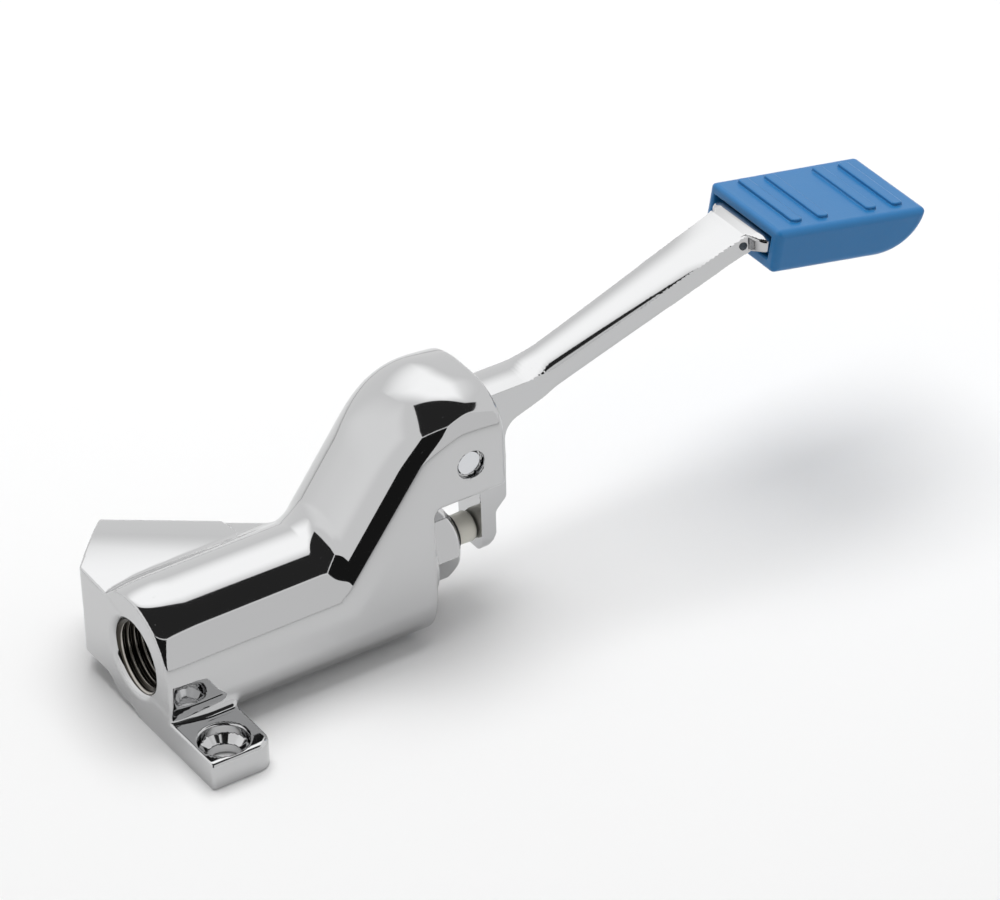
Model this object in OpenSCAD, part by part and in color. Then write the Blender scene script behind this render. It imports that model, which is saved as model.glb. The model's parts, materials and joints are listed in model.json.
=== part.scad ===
// Foot pedal tap valve: a floor-standing valve that a foot lever opens against a spring.
// Frame: +X from the inlet towards the pedal, +Y to the outlet's side, +Z up, floor at z = 0.
// The origin lies on the floor, midway between the two fixing holes.

/* [Barrel] */
// Outer radius of the barrel
barrel_r = 17.8; // [17:0.1:20]
// Height of the barrel's axis above the floor
axis_z = 17.2; // [16.5:0.1:19]
// Length of the barrel, from the inlet face to the front face
barrel_len = 74.5; // [72:0.5:80]
// Radius of the long edges under the barrel
foot_edge_r = 12.5; // [8:0.5:14]
// Radius of the lower front edge
toe_r = 7; // [4:0.5:9]

/* [Neck and head] */
// Half width between the flat flanks
flank_y = 17.6; // [16:0.1:17.7]
// Rise of the neck above the horizontal, in degrees
neck_angle = 52.7; // [51:0.1:55]
// Height of the head's top above the floor
head_top_z = 65.5; // [65:0.1:68]
// Radius between neck and head, seen from the side
head_r = 10.3; // [10.2:0.1:11]
// Distance of that rounding's centre ahead of the barrel's front face
head_back_out = 4.3; // [4:0.1:5]
// Radius of the head's and neck's long edges
head_edge_r = 9; // [8:0.5:9]
// Radius of the crown across neck and head
crown_r = 48; // [44:1:60]
// Distance of the head's front plane ahead of the barrel's front face
head_front_out = 20.7; // [19.5:0.1:21.5]
// Height of the cheeks' lower edge
cheek_z = 39.3; // [37:0.1:42]
// Radius of the corner between front face and cheeks
notch_r = 2.2; // [1:0.1:4]
// Depth of the head's cavity behind the pivot
cavity_back = 12.5; // [10:0.5:15]
// Thickness of the head's roof
roof_t = 6; // [5:0.5:7]

/* [Outlet boss] */
// Angle between the outlet's axis and the barrel's axis, in degrees
outlet_angle = 42; // [38:0.5:46]
// Length of the boss from the barrel's axis
outlet_len = 48.7; // [46:0.1:54]
// Radius of the boss at its end
outlet_r = 16; // [14.5:0.1:17]
// Radius of the boss at the barrel's axis
outlet_root_r = 17.3; // [16:0.1:17.6]
// Place where the two axes meet, from the inlet face
outlet_x = 43.7; // [42:0.1:48]
// Half height of the web between inlet and outlet
web_half = 12; // [9:0.5:13]

/* [Ports] */
// Wall radius of the threaded ports
port_r = 9.32; // [8.5:0.01:10]
// Depth of the threads
port_depth = 11; // [9:0.5:12]
// Radius of the chamfer at the inlet's mouth
port_mouth_r = 11; // [10.5:0.1:12]
// Radius of the chamfer at the outlet's mouth
outlet_mouth_r = 10.2; // [10:0.1:10.4]
// Radius of the passage from chamber to outlet
passage_r = 5.5; // [4:0.1:6]

/* [Fixing lugs] */
// Width of a lug along the barrel
lug_w = 14.9; // [14:0.1:18]
// Thickness of a lug
lug_t = 7.4; // [6:0.1:9]
// Reach of a lug from the barrel's axis
lug_reach = 35.8; // [34.5:0.1:40]
// Distance of a fixing hole from the lug's end
lug_hole_in = 7.4; // [6.8:0.1:9]
// Radius of a fixing hole
lug_hole_r = 4.3; // [3:0.1:5]
// Radius of the screw head's recess
lug_recess_r = 6.25; // [5.5:0.05:6.6]
// Depth of the straight part of the recess
lug_recess_d = 2.6; // [1.5:0.1:3.5]
// Radius of a lug's rounded corner
lug_corner_r = 4; // [2:0.5:5]
// Distance of the far lug behind the barrel's front face
lug_front_in = 7.1; // [5:0.1:10]

/* [Valve] */
// Radius of the chamber bore
chamber_r = 11; // [10.5:0.1:12]
// Place of the seat ring's shoulder, from the inlet face
seat_x = 30; // [29:0.5:32]
// Thickness of the seat ring
seat_t = 6; // [5:0.5:7]
// Radius of the seat's opening
seat_r = 5; // [4.5:0.1:6]
// Height of the seat's raised lip
seat_lip = 1; // [0.6:0.1:1.5]
// Radius of the spring chamber before the seat
spring_bore_r = 9; // [8.8:0.1:9.5]
// Thickness of the wall behind the spring
spring_wall = 2.5; // [2:0.1:3]
// Radius of the hole in that wall
spring_hole_r = 5.2; // [4.5:0.1:5.3]
// Radius of the stem
stem_r = 2.5; // [2:0.1:2.8]
// Radius of the rubber washer on the stem
washer_r = 7.5; // [7:0.1:8]
// Thickness of the rubber washer
washer_t = 3; // [2:0.1:4]
// Thickness of the plate behind the rubber washer
holder_t = 2.5; // [2:0.1:3]
// Across-flats size of the stem's nut
disc_nut_af = 8; // [7:0.1:8.5]
// Thickness of the stem's nut
disc_nut_t = 3; // [2.5:0.1:3.5]
// Radius of the spring at the wire's centre
spring_r = 6.2; // [6:0.1:6.8]
// Radius of the spring's wire
spring_wire_r = 0.55; // [0.4:0.05:0.6]
// Number of turns in the spring
spring_turns = 4; // [3:0.5:5]

/* [Gland] */
// Length of the nut's shank inside the barrel
shank_len = 12.5; // [11:0.5:14]
// Radius of the nut's flange
flange_r = 12.8; // [12.2:0.1:14]
// Thickness of the nut's flange
flange_t = 2.5; // [2:0.1:3.5]
// Across-flats size of the nut
gland_af = 17.6; // [16:0.1:19]
// Length of the hexagon
gland_hex_len = 6.8; // [5:0.1:8]
// Radius of the collar in front of the hexagon
collar_r = 5.5; // [5.2:0.1:6.5]
// Length of the collar
collar_len = 4; // [3.5:0.1:4.4]
// Thickness of the flat seal under the flange
gland_seal_t = 1.2; // [0.8:0.1:2]
// Radius of the plastic button
button_r = 3.65; // [3.2:0.05:3.8]
// Cross-section radius of the stem's O-rings
o_ring_r = 1; // [0.8:0.05:1.05]

/* [Pivot] */
// Distance of the pin's axis ahead of the barrel's front face
pivot_out = 10.7; // [9.5:0.1:11.5]
// Height of the pin's axis
pivot_z = 48.5; // [47.5:0.1:49.5]
// Radius of the pin
pin_r = 3; // [2.5:0.1:3.2]
// Radius of the recess round the pin's ends
pin_recess_r = 3.73; // [3.5:0.01:4.5]
// Depth of that recess
pin_recess_d = 1.4; // [0.8:0.1:2]
// Width of the lever's hub
hub_w = 13; // [12:0.1:14]
// Radius of the lever's hub
hub_r = 7.8; // [7:0.1:8.2]
// Thickness of a thrust washer
thrust_t = 0.9; // [0.6:0.1:1.2]
// Wall of the lever's bush
bush_wall = 1.5; // [1:0.1:2]

/* [Pedal lever] */
// Distance of the tail's rear face ahead of the barrel's front face
tail_out = 20.5; // [20:0.1:21.5]
// Thickness of the tail
tail_t = 4.3; // [3.5:0.1:5]
// Height of the tail's tip above the floor
tail_tip_z = 11; // [9:0.1:12]
// Height where the tail steps out to the lever's front
tail_step_z = 23.5; // [23:0.1:26]
// Half width of lever and tail
lever_half = 5.5; // [5:0.1:6]
// Distance of the lever's front, below the bar, ahead of the tail's rear face
lever_front_out = 7.5; // [6.5:0.1:9]
// Height of the lever's flat top at the head
lever_top_z = 56.6; // [56.2:0.1:57]
// Distance of the bar's bend ahead of the tail's rear face
bar_bend_out = 17.5; // [16:0.1:20]
// Rise of the bar, in degrees
bar_angle = 18.2; // [15:0.1:21]
// Thickness of the bar at the bend
bar_t = 7; // [6:0.1:8]
// Thickness of the bar at its end
bar_end_t = 5.2; // [5:0.1:6.5]
// Half width of the bar at its end
bar_end_half = 7.2; // [6.5:0.1:8]
// Length of the bar from the bend to its end
bar_len = 63; // [60:0.1:66]
// Radius of the cross pin at the bar's end
tongue_pin_r = 0.75; // [0.5:0.05:0.9]
// Distance of the cross pin from the bar's end
tongue_pin_in = 1.9; // [1.6:0.1:3]

/* [Pad] */
// Length of the pad
pad_len = 45; // [42:0.5:50]
// Width of the pad
pad_w = 28.3; // [27:0.1:32]
// Thickness of the pad
pad_t = 11; // [10.6:0.1:12]
// Fall of the pad's top towards its front, in degrees
pad_angle = 11.7; // [8:0.1:15]
// Place of the pad's upper back edge ahead of the bar's end
pad_ahead = 4.7; // [4.5:0.1:6]
// Height of the pad's upper back edge above the middle of the bar's end
pad_above = 5.8; // [5.6:0.1:6]
// Length of the curve under the pad's front
pad_nose = 14; // [10:0.5:16]
// Side wall of the pad
pad_side = 2.2; // [1.5:0.1:3]
// Top and bottom wall of the pad
pad_wall = 2.65; // [2:0.05:2.8]
// Thickness of the tongue inside the pad
tongue_t = 4; // [3.5:0.1:4.5]
// Length of the tongue inside the pad
tongue_in = 34; // [28:0.5:36]
// Width of a raised strip
strip_w = 3.2; // [2:0.1:4]
// Height of a raised strip
strip_h = 0.7; // [0.3:0.1:1]
// Length of a raised strip
strip_len = 22.8; // [18:0.1:24]
// Place of the first strip from the pad's back edge
strip_first = 6.2; // [4:0.1:8]
// Step between the two strips of a pair
strip_step = 8; // [6:0.1:9]
// Distance between the two pairs of strips
strip_gap = 22.8; // [20:0.1:24]

/* [Clearances] */
// Radial clearance of a running fit
run_gap = 0.06; // [0.02:0.01:0.1]
// Clearance between pieces that are pushed or screwed together
seat_gap = 0.04; // [0.02:0.01:0.1]
// Free play between tail and button
play = 0.3; // [0.2:0.05:0.6]
// Clearance of the tongue in the pad and in the bar
tongue_gap = 0.1; // [0.05:0.05:0.3]

/* [Hidden] */
$fn = 96;

chrome = [0.80, 0.81, 0.83];
brass = [0.78, 0.63, 0.33];
steel = [0.62, 0.64, 0.66];
rubber = [0.10, 0.10, 0.11];
nylon = [0.90, 0.89, 0.84];
pad_blue = [0.20, 0.42, 0.70];

// Room that a cut takes beyond a face
over = 2;

// The inlet face, seen from the origin between the fixing holes
lug_hole_x = lug_w / 2;
lug_hole_y = lug_reach - lug_hole_in;
lug_spacing = barrel_len - lug_front_in - lug_w;
inlet_x = -(lug_hole_x + lug_spacing / 2);

// Places of head and lever, from the inlet face
head_front_x = barrel_len + head_front_out;
pivot_x = barrel_len + pivot_out;
tail_x = barrel_len + tail_out;
lever_front_x = tail_x + lever_front_out;
bar_bend_x = tail_x + bar_bend_out;

// Head: the centre of its rounding, and the directions down the neck and out of its back
head_at = [barrel_len + head_back_out, head_top_z - head_r];
neck_down = [-cos(neck_angle), -sin(neck_angle)];
neck_out = [-sin(neck_angle), cos(neck_angle)];
neck_len = (head_at[1] - axis_z) / sin(neck_angle);
head_depth = 5;
slot_half = hub_w / 2 + thrust_t + 2 * seat_gap;

// Places along the barrel's axis, from the inlet face
spring_x = port_depth + spring_wall;
seal_x = seat_x - seat_lip - seat_gap;
holder_x = seal_x - washer_t - holder_t;
holder_boss = 2;
disc_nut_x = holder_x - holder_boss - disc_nut_t;
cage_x = seat_x + seat_t;
shank_x = barrel_len - shank_len;
flange_x = barrel_len + gland_seal_t;
hex_x = flange_x + flange_t;
collar_x = hex_x + gland_hex_len;
gland_front = collar_x + collar_len;
button_tip = tail_x - play;
stroke = 4.8;
button_back = gland_front - 8.8;
button_bore_x = button_back - stroke - 0.4;
button_socket = 6;
seal_r = stem_r + 2 * o_ring_r;
retainer_t = 3;
seal_floor = shank_x + retainer_t + 4 * o_ring_r + 1.2;
wiper_t = 1.8;
wiper_r = collar_r - 0.8;
clip_x = shank_x - 1.4;
clip_t = 1;
clip_r = stem_r + 2.3;
shank_r = chamber_r - seat_gap;
cage_wall = 2.1;
window_r = 5;

// Outlet: the boss's end, and the passage that leads to it from the chamber
outlet_end = [outlet_x - outlet_len * cos(outlet_angle), outlet_len * sin(outlet_angle)];
thread_end = outlet_end + port_depth * [cos(outlet_angle), -sin(outlet_angle)];
passage_end = [(cage_x + shank_x) / 2 + window_r, chamber_r - 1.5];
passage_run = passage_end - thread_end;
passage_len = norm(passage_run);
passage_turn = atan2(passage_run[1], passage_run[0]);
mouth_depth = port_mouth_r - port_r;

// Lever: the bar's two ends on its middle line
bar_dir = [cos(bar_angle), sin(bar_angle)];
bar_up = [-sin(bar_angle), cos(bar_angle)];
bar_root = [bar_bend_x, lever_top_z - bar_t / 2];
bar_end = bar_root + bar_len * bar_dir;
tongue_root_t = 3;
tongue_root_half = 4.4;
tongue_root_len = 9;
throat_r = 6;

// Pad: its upper back edge, and the tongue's height in it
pad_at = bar_end + [pad_ahead, pad_above];
tongue_top = -pad_t + pad_wall + tongue_gap + tongue_t;

// Points of an arc in the plane, from angle a to angle b
function arc(c, rx, ry, a, b, steps) =
    [for (i = [0:steps]) let (t = a + (b - a) * i / steps) c + [rx * cos(t), ry * sin(t)]];

// A point of the pad's own side view, along and above its top face, in the valve's side view
function pad_point(p) = pad_at + [p[0] * cos(pad_angle) + p[1] * sin(pad_angle),
    -p[0] * sin(pad_angle) + p[1] * cos(pad_angle)];

// Places children given from the inlet face
module from_inlet() {
    translate([inlet_x, 0, 0]) children();
}

// A cylinder on the barrel's axis from x = a to x = b
module on_axis(a, b, r1, r2 = undef) {
    translate([a, 0, axis_z]) rotate([0, 90, 0]) cylinder(h = b - a, r1 = r1, r2 = is_undef(r2) ? r1 : r2);
}

// A ring on the barrel's axis
module axis_ring(a, b, r_out, r_in) {
    difference() {
        on_axis(a, b, r_out);
        on_axis(a - over, b + over, r_in);
    }
}

// An O-ring on the barrel's axis, with its section's centre at radius r
module o_ring(x, r, section_r) {
    translate([x, 0, axis_z]) rotate([0, 90, 0]) rotate_extrude() translate([r, 0]) circle(section_r, $fn = 32);
}

// A side view (x, z) drawn through a width centred on the middle plane
module across(width) {
    rotate([90, 0, 0]) translate([0, 0, -width / 2]) linear_extrude(width) children();
}

// A cylinder across the valve from y = a to y = b
module across_pin(x, z, a, b, r) {
    translate([x, a, z]) rotate([-90, 0, 0]) cylinder(h = b - a, r = r);
}

// Half section of the head, from its middle out to its crown and rounded edges, or from further in
module head_section(depth = 0) {
    edge_y = flank_y - head_edge_r;
    edge_up = sqrt((crown_r - head_edge_r) ^ 2 - edge_y ^ 2);
    reach = 2 * head_edge_r;
    difference() {
        intersection() {
            translate([-depth, -flank_y]) square([head_r + depth, 2 * flank_y]);
            translate([head_r - crown_r, 0]) circle(crown_r);
        }
        for (side = [0, 1])
            mirror([0, side]) translate([head_r - crown_r + edge_up, edge_y]) difference() {
                polygon([[0, 0], reach * [edge_up, edge_y] / (crown_r - head_edge_r), [reach, reach], [0, reach]]);
                circle(head_edge_r);
            }
    }
}

// Carries the head's section along a straight stretch, starting at a side-view point
module head_run(at, facing, length, depth = 0) {
    translate([at[0], 0, at[1]]) rotate([0, -facing, 0]) linear_extrude(length) head_section(depth);
}

// Carries the head's section round a centre, from one facing to the next
module head_turn(at, from, turn) {
    translate([at[0], 0, at[1]]) rotate([90, 0, 0]) rotate([0, 0, from])
        rotate_extrude(angle = turn) head_section();
}

// The barrel with its flat foot and rounded toe
module barrel() {
    difference() {
        union() {
            on_axis(0, barrel_len, barrel_r);
            rotate([90, 0, 90]) linear_extrude(barrel_len) foot_section();
        }
        translate([-over, -lug_reach, -lug_reach]) cube([barrel_len + 2 * over, 2 * lug_reach, lug_reach]);
        across(2 * lug_reach) difference() {
            translate([barrel_len - toe_r, -over]) square([toe_r + over, toe_r + over]);
            translate([barrel_len - toe_r, toe_r]) circle(toe_r);
        }
    }
}

// Section of the barrel's foot
module foot_section() {
    inner = flank_y - foot_edge_r;
    translate([-flank_y, foot_edge_r]) square([2 * flank_y, axis_z - foot_edge_r]);
    translate([-inner, 0]) square([2 * inner, axis_z]);
    for (side = [-1, 1])
        translate([side * inner, foot_edge_r]) circle(foot_edge_r);
}

// Neck and head as one solid, before the cavity is cut
module neck_and_head() {
    inset = head_depth / 2;
    head_run(head_at, 90 + neck_angle, neck_len, head_depth);
    head_turn(head_at, 90, neck_angle);
    head_run([head_front_x, head_at[1]], 90, head_front_x - head_at[0], head_depth);
    across(2 * flank_y) polygon([head_at - [0, inset], [head_front_x, head_at[1] - inset],
        [head_front_x, cheek_z], [barrel_len, cheek_z], [barrel_len, axis_z - over],
        head_at + (neck_len - over) * neck_down - inset * neck_out]);
}

// The outlet boss and the web that ties it to the inlet end
module outlet_boss() {
    intersection() {
        union() {
            translate([outlet_x, 0, axis_z]) rotate([0, 0, 180 - outlet_angle]) rotate([0, 90, 0])
                cylinder(h = outlet_len, r1 = outlet_root_r, r2 = outlet_r);
            translate([0, 0, axis_z - web_half]) linear_extrude(2 * web_half)
                polygon([[0, 0], [0, outlet_end[1] - outlet_end[0] / tan(outlet_angle)],
                    outlet_end, [outlet_x, 0]]);
        }
        translate([0, -lug_reach, 0]) cube([barrel_len, 4 * lug_reach, 4 * lug_reach]);
    }
}

// One fixing lug at the near side, its hole's centre at x = 0
module lug() {
    linear_extrude(lug_t) difference() {
        translate([-lug_w / 2, -lug_reach]) square([lug_w, lug_reach]);
        translate([lug_w / 2 - lug_corner_r, -lug_reach - over]) difference() {
            square([lug_corner_r + over, lug_corner_r + over]);
            translate([0, lug_corner_r + over]) circle(lug_corner_r);
        }
    }
}

// The hole and screw recess of one lug
module lug_hole() {
    cone = lug_recess_r - lug_hole_r;
    translate([0, -lug_hole_y, -over]) cylinder(h = lug_t + 2 * over, r = lug_hole_r);
    translate([0, -lug_hole_y, lug_t - lug_recess_d]) cylinder(h = lug_recess_d + over, r = lug_recess_r);
    translate([0, -lug_hole_y, lug_t - lug_recess_d - cone]) cylinder(h = cone, r1 = lug_hole_r, r2 = lug_recess_r);
}

// Puts children at both lugs: near the inlet, and turned to the far side towards the front
module at_lugs() {
    translate([lug_hole_x, 0, 0]) children();
    translate([lug_hole_x + lug_spacing, 0, 0]) mirror([0, 1, 0]) children();
}

// Everything that is bored or cut out of the casting
module body_cuts() {
    on_axis(-over, port_depth, port_r);
    on_axis(-0.5, mouth_depth, port_mouth_r + 0.5, port_r);
    on_axis(0, seat_x, spring_hole_r);
    on_axis(spring_x, seat_x, spring_bore_r);
    on_axis(seat_x, barrel_len + over, chamber_r);
    translate([outlet_end[0], outlet_end[1], axis_z]) rotate([0, 0, -outlet_angle]) rotate([0, 90, 0]) {
        translate([0, 0, -over]) cylinder(h = port_depth + over, r = port_r);
        translate([0, 0, -0.5]) cylinder(h = outlet_mouth_r - port_r + 0.5, r1 = outlet_mouth_r + 0.5, r2 = port_r);
    }
    translate([thread_end[0], thread_end[1], axis_z]) rotate([0, 0, passage_turn]) rotate([0, 90, 0])
        translate([0, 0, -over]) cylinder(h = passage_len + over, r = passage_r);
    translate([pivot_x - cavity_back, -slot_half, cheek_z])
        cube([head_front_x, 2 * slot_half, head_top_z - roof_t - cheek_z]);
    translate([barrel_len, -slot_half, cheek_z - over]) cube([head_front_x, 2 * slot_half, 2 * over]);
    across_pin(pivot_x, pivot_z, -flank_y - over, flank_y + over, pin_r + seat_gap);
    for (side = [-1, 1])
        across_pin(pivot_x, pivot_z, min(side * (flank_y - pin_recess_d), side * (flank_y + over)),
            max(side * (flank_y - pin_recess_d), side * (flank_y + over)), pin_recess_r);
    at_lugs() lug_hole();
}

module valve_body() {
    color(chrome) from_inlet() difference() {
        union() {
            barrel();
            neck_and_head();
            notch_fillet();
            outlet_boss();
            at_lugs() lug();
        }
        body_cuts();
    }
}

// The rounded inner corner between the front face and the cheeks
module notch_fillet() {
    across(2 * flank_y) difference() {
        translate([barrel_len - over, cheek_z - notch_r]) square([notch_r + over, notch_r + over]);
        translate([barrel_len + notch_r, cheek_z - notch_r]) circle(notch_r);
        translate([barrel_len - 2 * over, cheek_z]) square([notch_r + 3 * over, 2 * over]);
    }
}

module seat_ring() {
    groove_r = shank_r - 1.6;
    color(brass) from_inlet() difference() {
        union() {
            on_axis(seat_x, cage_x, shank_r);
            on_axis(seat_x - seat_lip, seat_x + 1, seat_r + 1.2);
        }
        on_axis(seat_x - over, cage_x + over, seat_r);
        axis_ring(seat_x + 1.4, seat_x + 3.2, chamber_r + over, groove_r);
    }
}

module seat_seal() {
    section = 0.78;
    color(rubber) from_inlet() o_ring(seat_x + 2.3, shank_r - section, section);
}

module cage_sleeve() {
    color(brass) from_inlet() difference() {
        axis_ring(cage_x, shank_x, shank_r, shank_r - cage_wall);
        for (turn = [0, 90])
            translate([(cage_x + shank_x) / 2 - 1, 0, axis_z]) rotate([turn, 0, 0])
                translate([0, 0, -chamber_r - over]) cylinder(h = 2 * (chamber_r + over), r = window_r);
    }
}

module gland_nut() {
    corner_r = gland_af / sqrt(3);
    color(chrome) from_inlet() difference() {
        union() {
            on_axis(shank_x, flange_x + 0.5, shank_r);
            on_axis(flange_x, hex_x, flange_r);
            intersection() {
                translate([hex_x - 0.5, 0, axis_z]) rotate([0, 90, 0]) rotate([0, 0, 90])
                    cylinder(h = gland_hex_len + 0.5, r = corner_r, $fn = 6);
                on_axis(hex_x - over, collar_x, corner_r + (gland_hex_len + over) / tan(30) - 0.5,
                    corner_r - 1.3);
            }
            on_axis(hex_x, gland_front, collar_r);
        }
        on_axis(shank_x - over, gland_front, stem_r + run_gap);
        on_axis(shank_x - over, seal_floor, seal_r + seat_gap);
        on_axis(button_bore_x, gland_front + over, button_r + run_gap);
        on_axis(gland_front - wiper_t, gland_front + over, wiper_r + seat_gap);
    }
}

module gland_washer() {
    color([0.45, 0.20, 0.16]) from_inlet() axis_ring(barrel_len, flange_x, flange_r - 0.3, chamber_r + 0.1);
}

module stem_seals() {
    first = shank_x + retainer_t + o_ring_r + seat_gap;
    section = o_ring_r - seat_gap / 2;
    color(rubber) from_inlet()
        for (i = [0, 1])
            o_ring(first + i * (2 * o_ring_r + seat_gap), stem_r + o_ring_r + seat_gap / 2, section);
}

module seal_retainer() {
    color(brass) from_inlet() axis_ring(shank_x + seat_gap, shank_x + retainer_t, seal_r, stem_r + run_gap);
}

module wiper_ring() {
    color(rubber) from_inlet() axis_ring(gland_front - wiper_t, gland_front + 0.3, wiper_r, button_r + run_gap);
}

module pivot_pin() {
    half = flank_y - pin_recess_d + 0.4;
    color(steel) from_inlet() across_pin(pivot_x, pivot_z, -half, half, pin_r);
}

module pivot_washers() {
    color(nylon) from_inlet() for (side = [0, 1]) mirror([0, side, 0]) difference() {
        across_pin(pivot_x, pivot_z, hub_w / 2 + seat_gap, hub_w / 2 + seat_gap + thrust_t, hub_r - 1.2);
        across_pin(pivot_x, pivot_z, 0, hub_w, pin_r + run_gap);
    }
}

// Coil spring: a round wire swept along a helix, its first and last half turn flattening out
spring_len = holder_x - spring_x - 2 * seat_gap;
spring_rise = spring_len - 2 * spring_wire_r;
spring_rings = 18;
spring_sides = 6;
spring_lead = 0.5;
spring_steps = spring_turns * spring_rings;
function spring_share(turn) = turn < spring_lead ? turn * turn / (2 * spring_lead)
    : turn > spring_turns - spring_lead
        ? spring_turns - spring_lead - (spring_turns - turn) * (spring_turns - turn) / (2 * spring_lead)
        : turn - spring_lead / 2;
function spring_point(i, side) = let (turn = i / spring_rings, a = 360 * turn, s = 360 * side / spring_sides,
    r = spring_r + spring_wire_r * cos(s))
    [spring_wire_r + spring_rise * spring_share(turn) / (spring_turns - spring_lead) + spring_wire_r * sin(s),
        r * cos(a), r * sin(a)];

module return_spring() {
    points = [for (i = [0:spring_steps]) for (s = [0:spring_sides - 1]) spring_point(i, s)];
    sides = [for (i = [0:spring_steps - 1]) for (s = [0:spring_sides - 1])
        let (a = i * spring_sides + s, b = i * spring_sides + (s + 1) % spring_sides)
        each [[a, b, b + spring_sides], [a, b + spring_sides, a + spring_sides]]];
    last = spring_steps * spring_sides;
    caps = [for (s = [1:spring_sides - 2]) each [[0, s + 1, s], [last, last + s, last + s + 1]]];
    color(steel) from_inlet() translate([spring_x + seat_gap, 0, axis_z])
        polyhedron(points, concat(sides, caps));
}

module valve_stem() {
    color(steel) from_inlet() difference() {
        union() {
            on_axis(disc_nut_x - 0.5, button_back - seat_gap, stem_r);
            on_axis(button_back - 1, button_back + button_socket, stem_r - 0.7);
        }
        axis_ring(clip_x, clip_x + clip_t, stem_r + over, stem_r - 0.4);
    }
}

module plunger_button() {
    crown = 0.6;
    color(nylon) from_inlet() difference() {
        union() {
            on_axis(button_back, button_tip - crown, button_r);
            on_axis(button_tip - crown, button_tip, button_r, button_r - crown);
        }
        on_axis(button_back - over, button_back + button_socket + 0.2, stem_r - 0.7 + seat_gap);
    }
}

module stem_clip() {
    color(steel) from_inlet()
        axis_ring(clip_x + seat_gap / 2, clip_x + clip_t - seat_gap / 2, clip_r, stem_r - 0.4 + seat_gap / 2);
}

module disc_holder() {
    color(brass) from_inlet() difference() {
        union() {
            on_axis(holder_x, holder_x + holder_t, washer_r + 0.3);
            on_axis(holder_x - holder_boss, holder_x + holder_t, stem_r + 1.5);
        }
        on_axis(holder_x - holder_boss - over, seal_x, stem_r + seat_gap);
    }
}

module valve_washer() {
    color(rubber) from_inlet() axis_ring(holder_x + holder_t, seal_x, washer_r, stem_r + seat_gap);
}

module disc_nut() {
    color(brass) from_inlet() difference() {
        translate([disc_nut_x, 0, axis_z]) rotate([0, 90, 0])
            cylinder(h = disc_nut_t, r = disc_nut_af / sqrt(3), $fn = 6);
        on_axis(disc_nut_x - over, holder_x, stem_r + seat_gap);
    }
}

// Side view of the lever: hub, tail and bar
module lever_side() {
    step = lever_front_x - tail_x - tail_t;
    bar_low_root = bar_root - bar_t / 2 * bar_up;
    bar_low_end = bar_end - bar_end_t / 2 * bar_up;
    low_dir = (bar_low_end - bar_low_root) / norm(bar_low_end - bar_low_root);
    low_angle = atan2(low_dir[1], low_dir[0]);
    // The throat is an arc tangent to the lever's front and to the bar's lower side
    throat_x = lever_front_x + throat_r;
    throat_z = bar_low_root[1] + (throat_x - bar_low_root[0]) * tan(low_angle) - throat_r / cos(low_angle);
    polygon(concat(
        [[pivot_x, pivot_z + hub_r], [pivot_x, lever_top_z], [bar_bend_x, lever_top_z]],
        [bar_end + bar_end_t / 2 * bar_up, bar_low_end],
        arc([throat_x, throat_z], throat_r, throat_r, 90 + low_angle, 180, 8),
        [[lever_front_x, tail_step_z + step], [tail_x + tail_t, tail_step_z], [tail_x + tail_t, tail_tip_z + 5]],
        [[tail_x + tail_t / 2, tail_tip_z + 0.8], [tail_x, tail_tip_z]],
        [[tail_x, cheek_z], [pivot_x, pivot_z - hub_r]]));
}

// Plan of the lever: straight to the bend, then widening to the bar's end
module lever_plan() {
    polygon([[pivot_x - hub_r, -lever_half], [bar_bend_x, -lever_half], [bar_end[0], -bar_end_half],
        [bar_end[0] + over, -bar_end_half], [bar_end[0] + over, bar_end_half], [bar_end[0], bar_end_half],
        [bar_bend_x, lever_half], [pivot_x - hub_r, lever_half]]);
}

// Places children with x along the bar and the bar's end at the origin
module at_bar_end() {
    translate([bar_end[0], 0, bar_end[1]]) rotate([0, -bar_angle, 0]) children();
}

module pedal_lever() {
    color(chrome) from_inlet() difference() {
        union() {
            intersection() {
                across(4 * bar_end_half) lever_side();
                linear_extrude(4 * head_top_z) lever_plan();
            }
            across_pin(pivot_x, pivot_z, -hub_w / 2, hub_w / 2, hub_r);
        }
        across_pin(pivot_x, pivot_z, -hub_w, hub_w, pin_r + run_gap + bush_wall + seat_gap);
        at_bar_end() {
            translate([-tongue_root_len - tongue_gap, -tongue_root_half - tongue_gap,
                -tongue_root_t / 2 - tongue_gap])
                cube([tongue_root_len + over, 2 * (tongue_root_half + tongue_gap),
                    tongue_root_t + 2 * tongue_gap]);
            across_pin(-tongue_pin_in, 0, -2 * bar_end_half, 2 * bar_end_half, tongue_pin_r + seat_gap);
        }
    }
}

module lever_bush() {
    color(nylon) from_inlet() difference() {
        across_pin(pivot_x, pivot_z, -hub_w / 2, hub_w / 2, pin_r + run_gap + bush_wall);
        across_pin(pivot_x, pivot_z, -hub_w, hub_w, pin_r + run_gap);
    }
}

// Plan of the tongue: a fan from the bar's width to the pad's inside width
module tongue_plan() {
    inside = pad_w / 2 - pad_side - tongue_gap;
    start = bar_end[0] + tongue_gap;
    wide = pad_at[0] - 0.5;
    finish = pad_at[0] + pad_len;
    polygon([[start - over, -bar_end_half], [start, -bar_end_half], [wide, -inside], [finish, -inside],
        [finish, inside], [wide, inside], [start, bar_end_half], [start - over, bar_end_half]]);
}

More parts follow.
